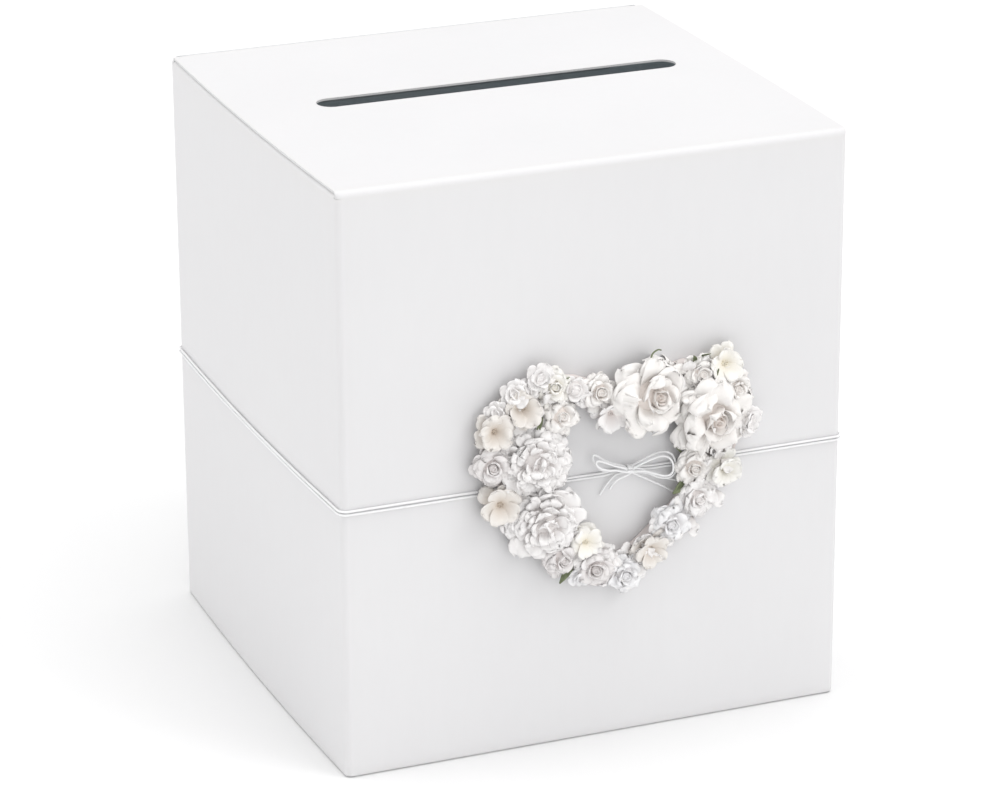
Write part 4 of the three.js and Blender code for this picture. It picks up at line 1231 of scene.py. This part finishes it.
# ---- Small loose petals along the ring, which close the gaps between the flowers ----
HEART = [
    (2, -44), (-15, -35.5), (-34, -19), (-51, 4), (-53, 27), (-39, 42), (-19, 43), (-1, 33),
    (19, 39), (38, 43), (53, 31), (53, 9), (41, -12), (21, -32),
]
wrapped_heart = [HEART[-1]] + HEART + HEART[:2]
ring_line = smooth_path([(x, z, 0) for x, z in wrapped_heart], 10)
ring_points, _ = resample(ring_line, 4.2)
filler = Mesh()
rng = random.Random(7)
for x, z, _ in ring_points:
    for _ in range(3):
        one = Mesh()
        petal(
            one, rng.uniform(0, 6.28), 0.6, rng.uniform(-0.4, 0.8), 30 * RAD, rng.uniform(62, 98) * RAD,
            rng.uniform(6.5, 9.5), rng.uniform(6.5, 9), wrap=0.1, power=0.7, curl=rng.uniform(-0.05, 0.15),
            roll=rng.uniform(0, 0.2), cup=rng.uniform(0, 0.1), ruffle=rng.uniform(0.02, 0.06),
            waves=rng.uniform(1, 2.6), phase=rng.uniform(0, 6), nu=8, nv=7, point=rng.uniform(0, 1.0),
            tone0=0.2, rng=rng, fold=rng.uniform(-0.05, 0.2), skew=rng.uniform(-0.3, 0.3), jag=0.12,
            crumple=0.05,
        )
        at_x, at_z = x + rng.uniform(-4, 4), z + rng.uniform(-4, 4)
        put = flower_place(at_x, at_z, rng.uniform(-10, 10), rng.uniform(-10, 10))
        filler.grid(put(one.vertices()).reshape(7, 8, 3), one.tones[0].reshape(7, 8))
filler_obj = filler.build("wreath_filler_petals", [PETAL["white"]])
give_paper_thickness(filler_obj)
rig.slot(filler_obj, "petal")
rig.ride(filler_obj, "carton")


# ---- Leaves and stems ----
def leaf(m, x, z, direction, length, width, lift, fold):
    """A pointed leaf from its foot at x and z, lifting off the wreath towards its tip."""
    v = np.linspace(0, 1, 12)[:, None]
    u = np.linspace(-1, 1, 7)[None, :]
    half = width / 2 * np.sin(math.pi * np.clip(v, 0.02, 0.98)) ** 0.7 * (1.15 - 0.5 * v)
    along = v * length + 0 * u
    side = half * u
    out = lift * v**1.5 + fold * np.abs(u) * half + 0.3 * np.sin(7 * v + 3 * u)
    a = direction * RAD
    px = x + along * math.cos(a) - side * math.sin(a)
    pz = z + along * math.sin(a) + side * math.cos(a)
    py = -HALF_D - 5.3 - out
    m.grid(np.stack([WREATH_X + px, py + 0 * px, WREATH_Z + pz], axis=2))


def stem(m, points):
    """A thin stem through points of x, z and distance from the wall."""
    p = smooth_path([(WREATH_X + x, -HALF_D - out, WREATH_Z + z) for x, z, out in points], 8)
    tube(m, p, np.linspace(0.34, 0.238, len(p)), 7)


# node: its blades, each with x, z, direction, length, width, lift and fold, and its stems
LEAVES = {
    "leaf_01": (
        [(4, 38, 112, 9, 4.5, 3, 0.35)],
        [[(11.5, 46, 9), (13, 53.2, 10), (13.9, 57.2, 11), (16.1, 58.8, 11.5), (17.6, 58.6, 12)]],
    ),
    "leaf_02": (
        [(46, 35, 102, 13, 4, 4, 0.3), (38, 47, 125, 8, 2.6, 6, 0.4), (40, 50, 70, 4, 1.6, 7, 0.3)],
        [[(46, 36, 8), (45, 42, 11), (45.4, 46, 12)]],
    ),
    "leaf_03": (
        [(34, -7, 206, 10, 5, 4, 0.4), (50, -5, 20, 8, 3, 5, 0.3)],
        [[(31, 6, 5), (28.5, 8.5, 6), (27.6, 9.6, 6.5)]],
    ),
    "leaf_04": (
        [(-20.5, -35.5, 234, 14, 5, 2, 0.3), (-48, 3, 250, 9, 4, 3, 0.3), (-37, 37, 250, 8, 3.4, 6, 0.3),
         (-28, 47, 75, 6, 2.2, 8, 0.3)],
        [[(-38, 36, 7), (-39.6, 32, 10), (-41, 29.5, 11)]],
    ),
}
for node, (blades, stems) in LEAVES.items():
    m = Mesh()
    for blade in blades:
        leaf(m, *blade)
    for points in stems:
        stem(m, points)
    obj = m.build(f"{node}_green", [LEAF_M])
    give_paper_thickness(obj)
    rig.slot(obj, "leaf")
    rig.ride(obj, "carton")
    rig.replaces(obj, node)

ring = frame["nodes"]["wreath_base"]
ring.data.materials.clear()
ring.data.materials.append(PETAL["white"])

# ---- Floor and light ----
floor_data = bpy.data.meshes.new("floor")
floor_data.from_pydata([(-8, -8, 0), (8, -8, 0), (8, 8, 0), (-8, 8, 0)], [], [(0, 1, 2, 3)])
floor = bpy.data.objects.new("floor", floor_data)
bpy.context.collection.objects.link(floor)
floor_material, _, s, _ = nodes_of("floor_white")
s.inputs["Base Color"].default_value = (0.86, 0.86, 0.86, 1)
s.inputs["Roughness"].default_value = 0.9
s.inputs["Specular IOR Level"].default_value = 0.0
floor_data.materials.append(floor_material)
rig.stage(floor)

world = bpy.data.worlds.new("studio")
world.use_nodes = True
sky = world.node_tree.nodes["Background"]
sky.inputs["Color"].default_value = (1.0, 0.998, 1.0, 1)
sky.inputs["Strength"].default_value = 0.5
bpy.context.scene.world = world


def sun(name, towards, strength, spread):
    """A wide soft light from the given side; the spread is its width in degrees."""
    data = bpy.data.lights.new(name, "SUN")
    data.energy = strength
    data.angle = spread * RAD
    obj = bpy.data.objects.new(name, data)
    obj.location = Vector(towards) * 3
    obj.rotation_euler = (-Vector(towards)).to_track_quat("-Z", "Y").to_euler()
    bpy.context.collection.objects.link(obj)


sun("key", (0.5, -0.5, 0.7), 0.16 * math.pi, 25)
sun("front", (0.1, -0.9, 0.42), 0.23 * math.pi, 60)
sun("fill", (-0.86, 0.3, 0.4), 0.27 * math.pi, 60)
sun("top", (0.1, 0.05, 0.99), 0.5 * math.pi, 60)
bpy.context.scene.view_settings.view_transform = "Standard"

visual_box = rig.bounds()
with open("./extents.json", "w") as f:
    json.dump({"cad": [list(c) for c in cad_box], "visual": [list(c) for c in visual_box]}, f)
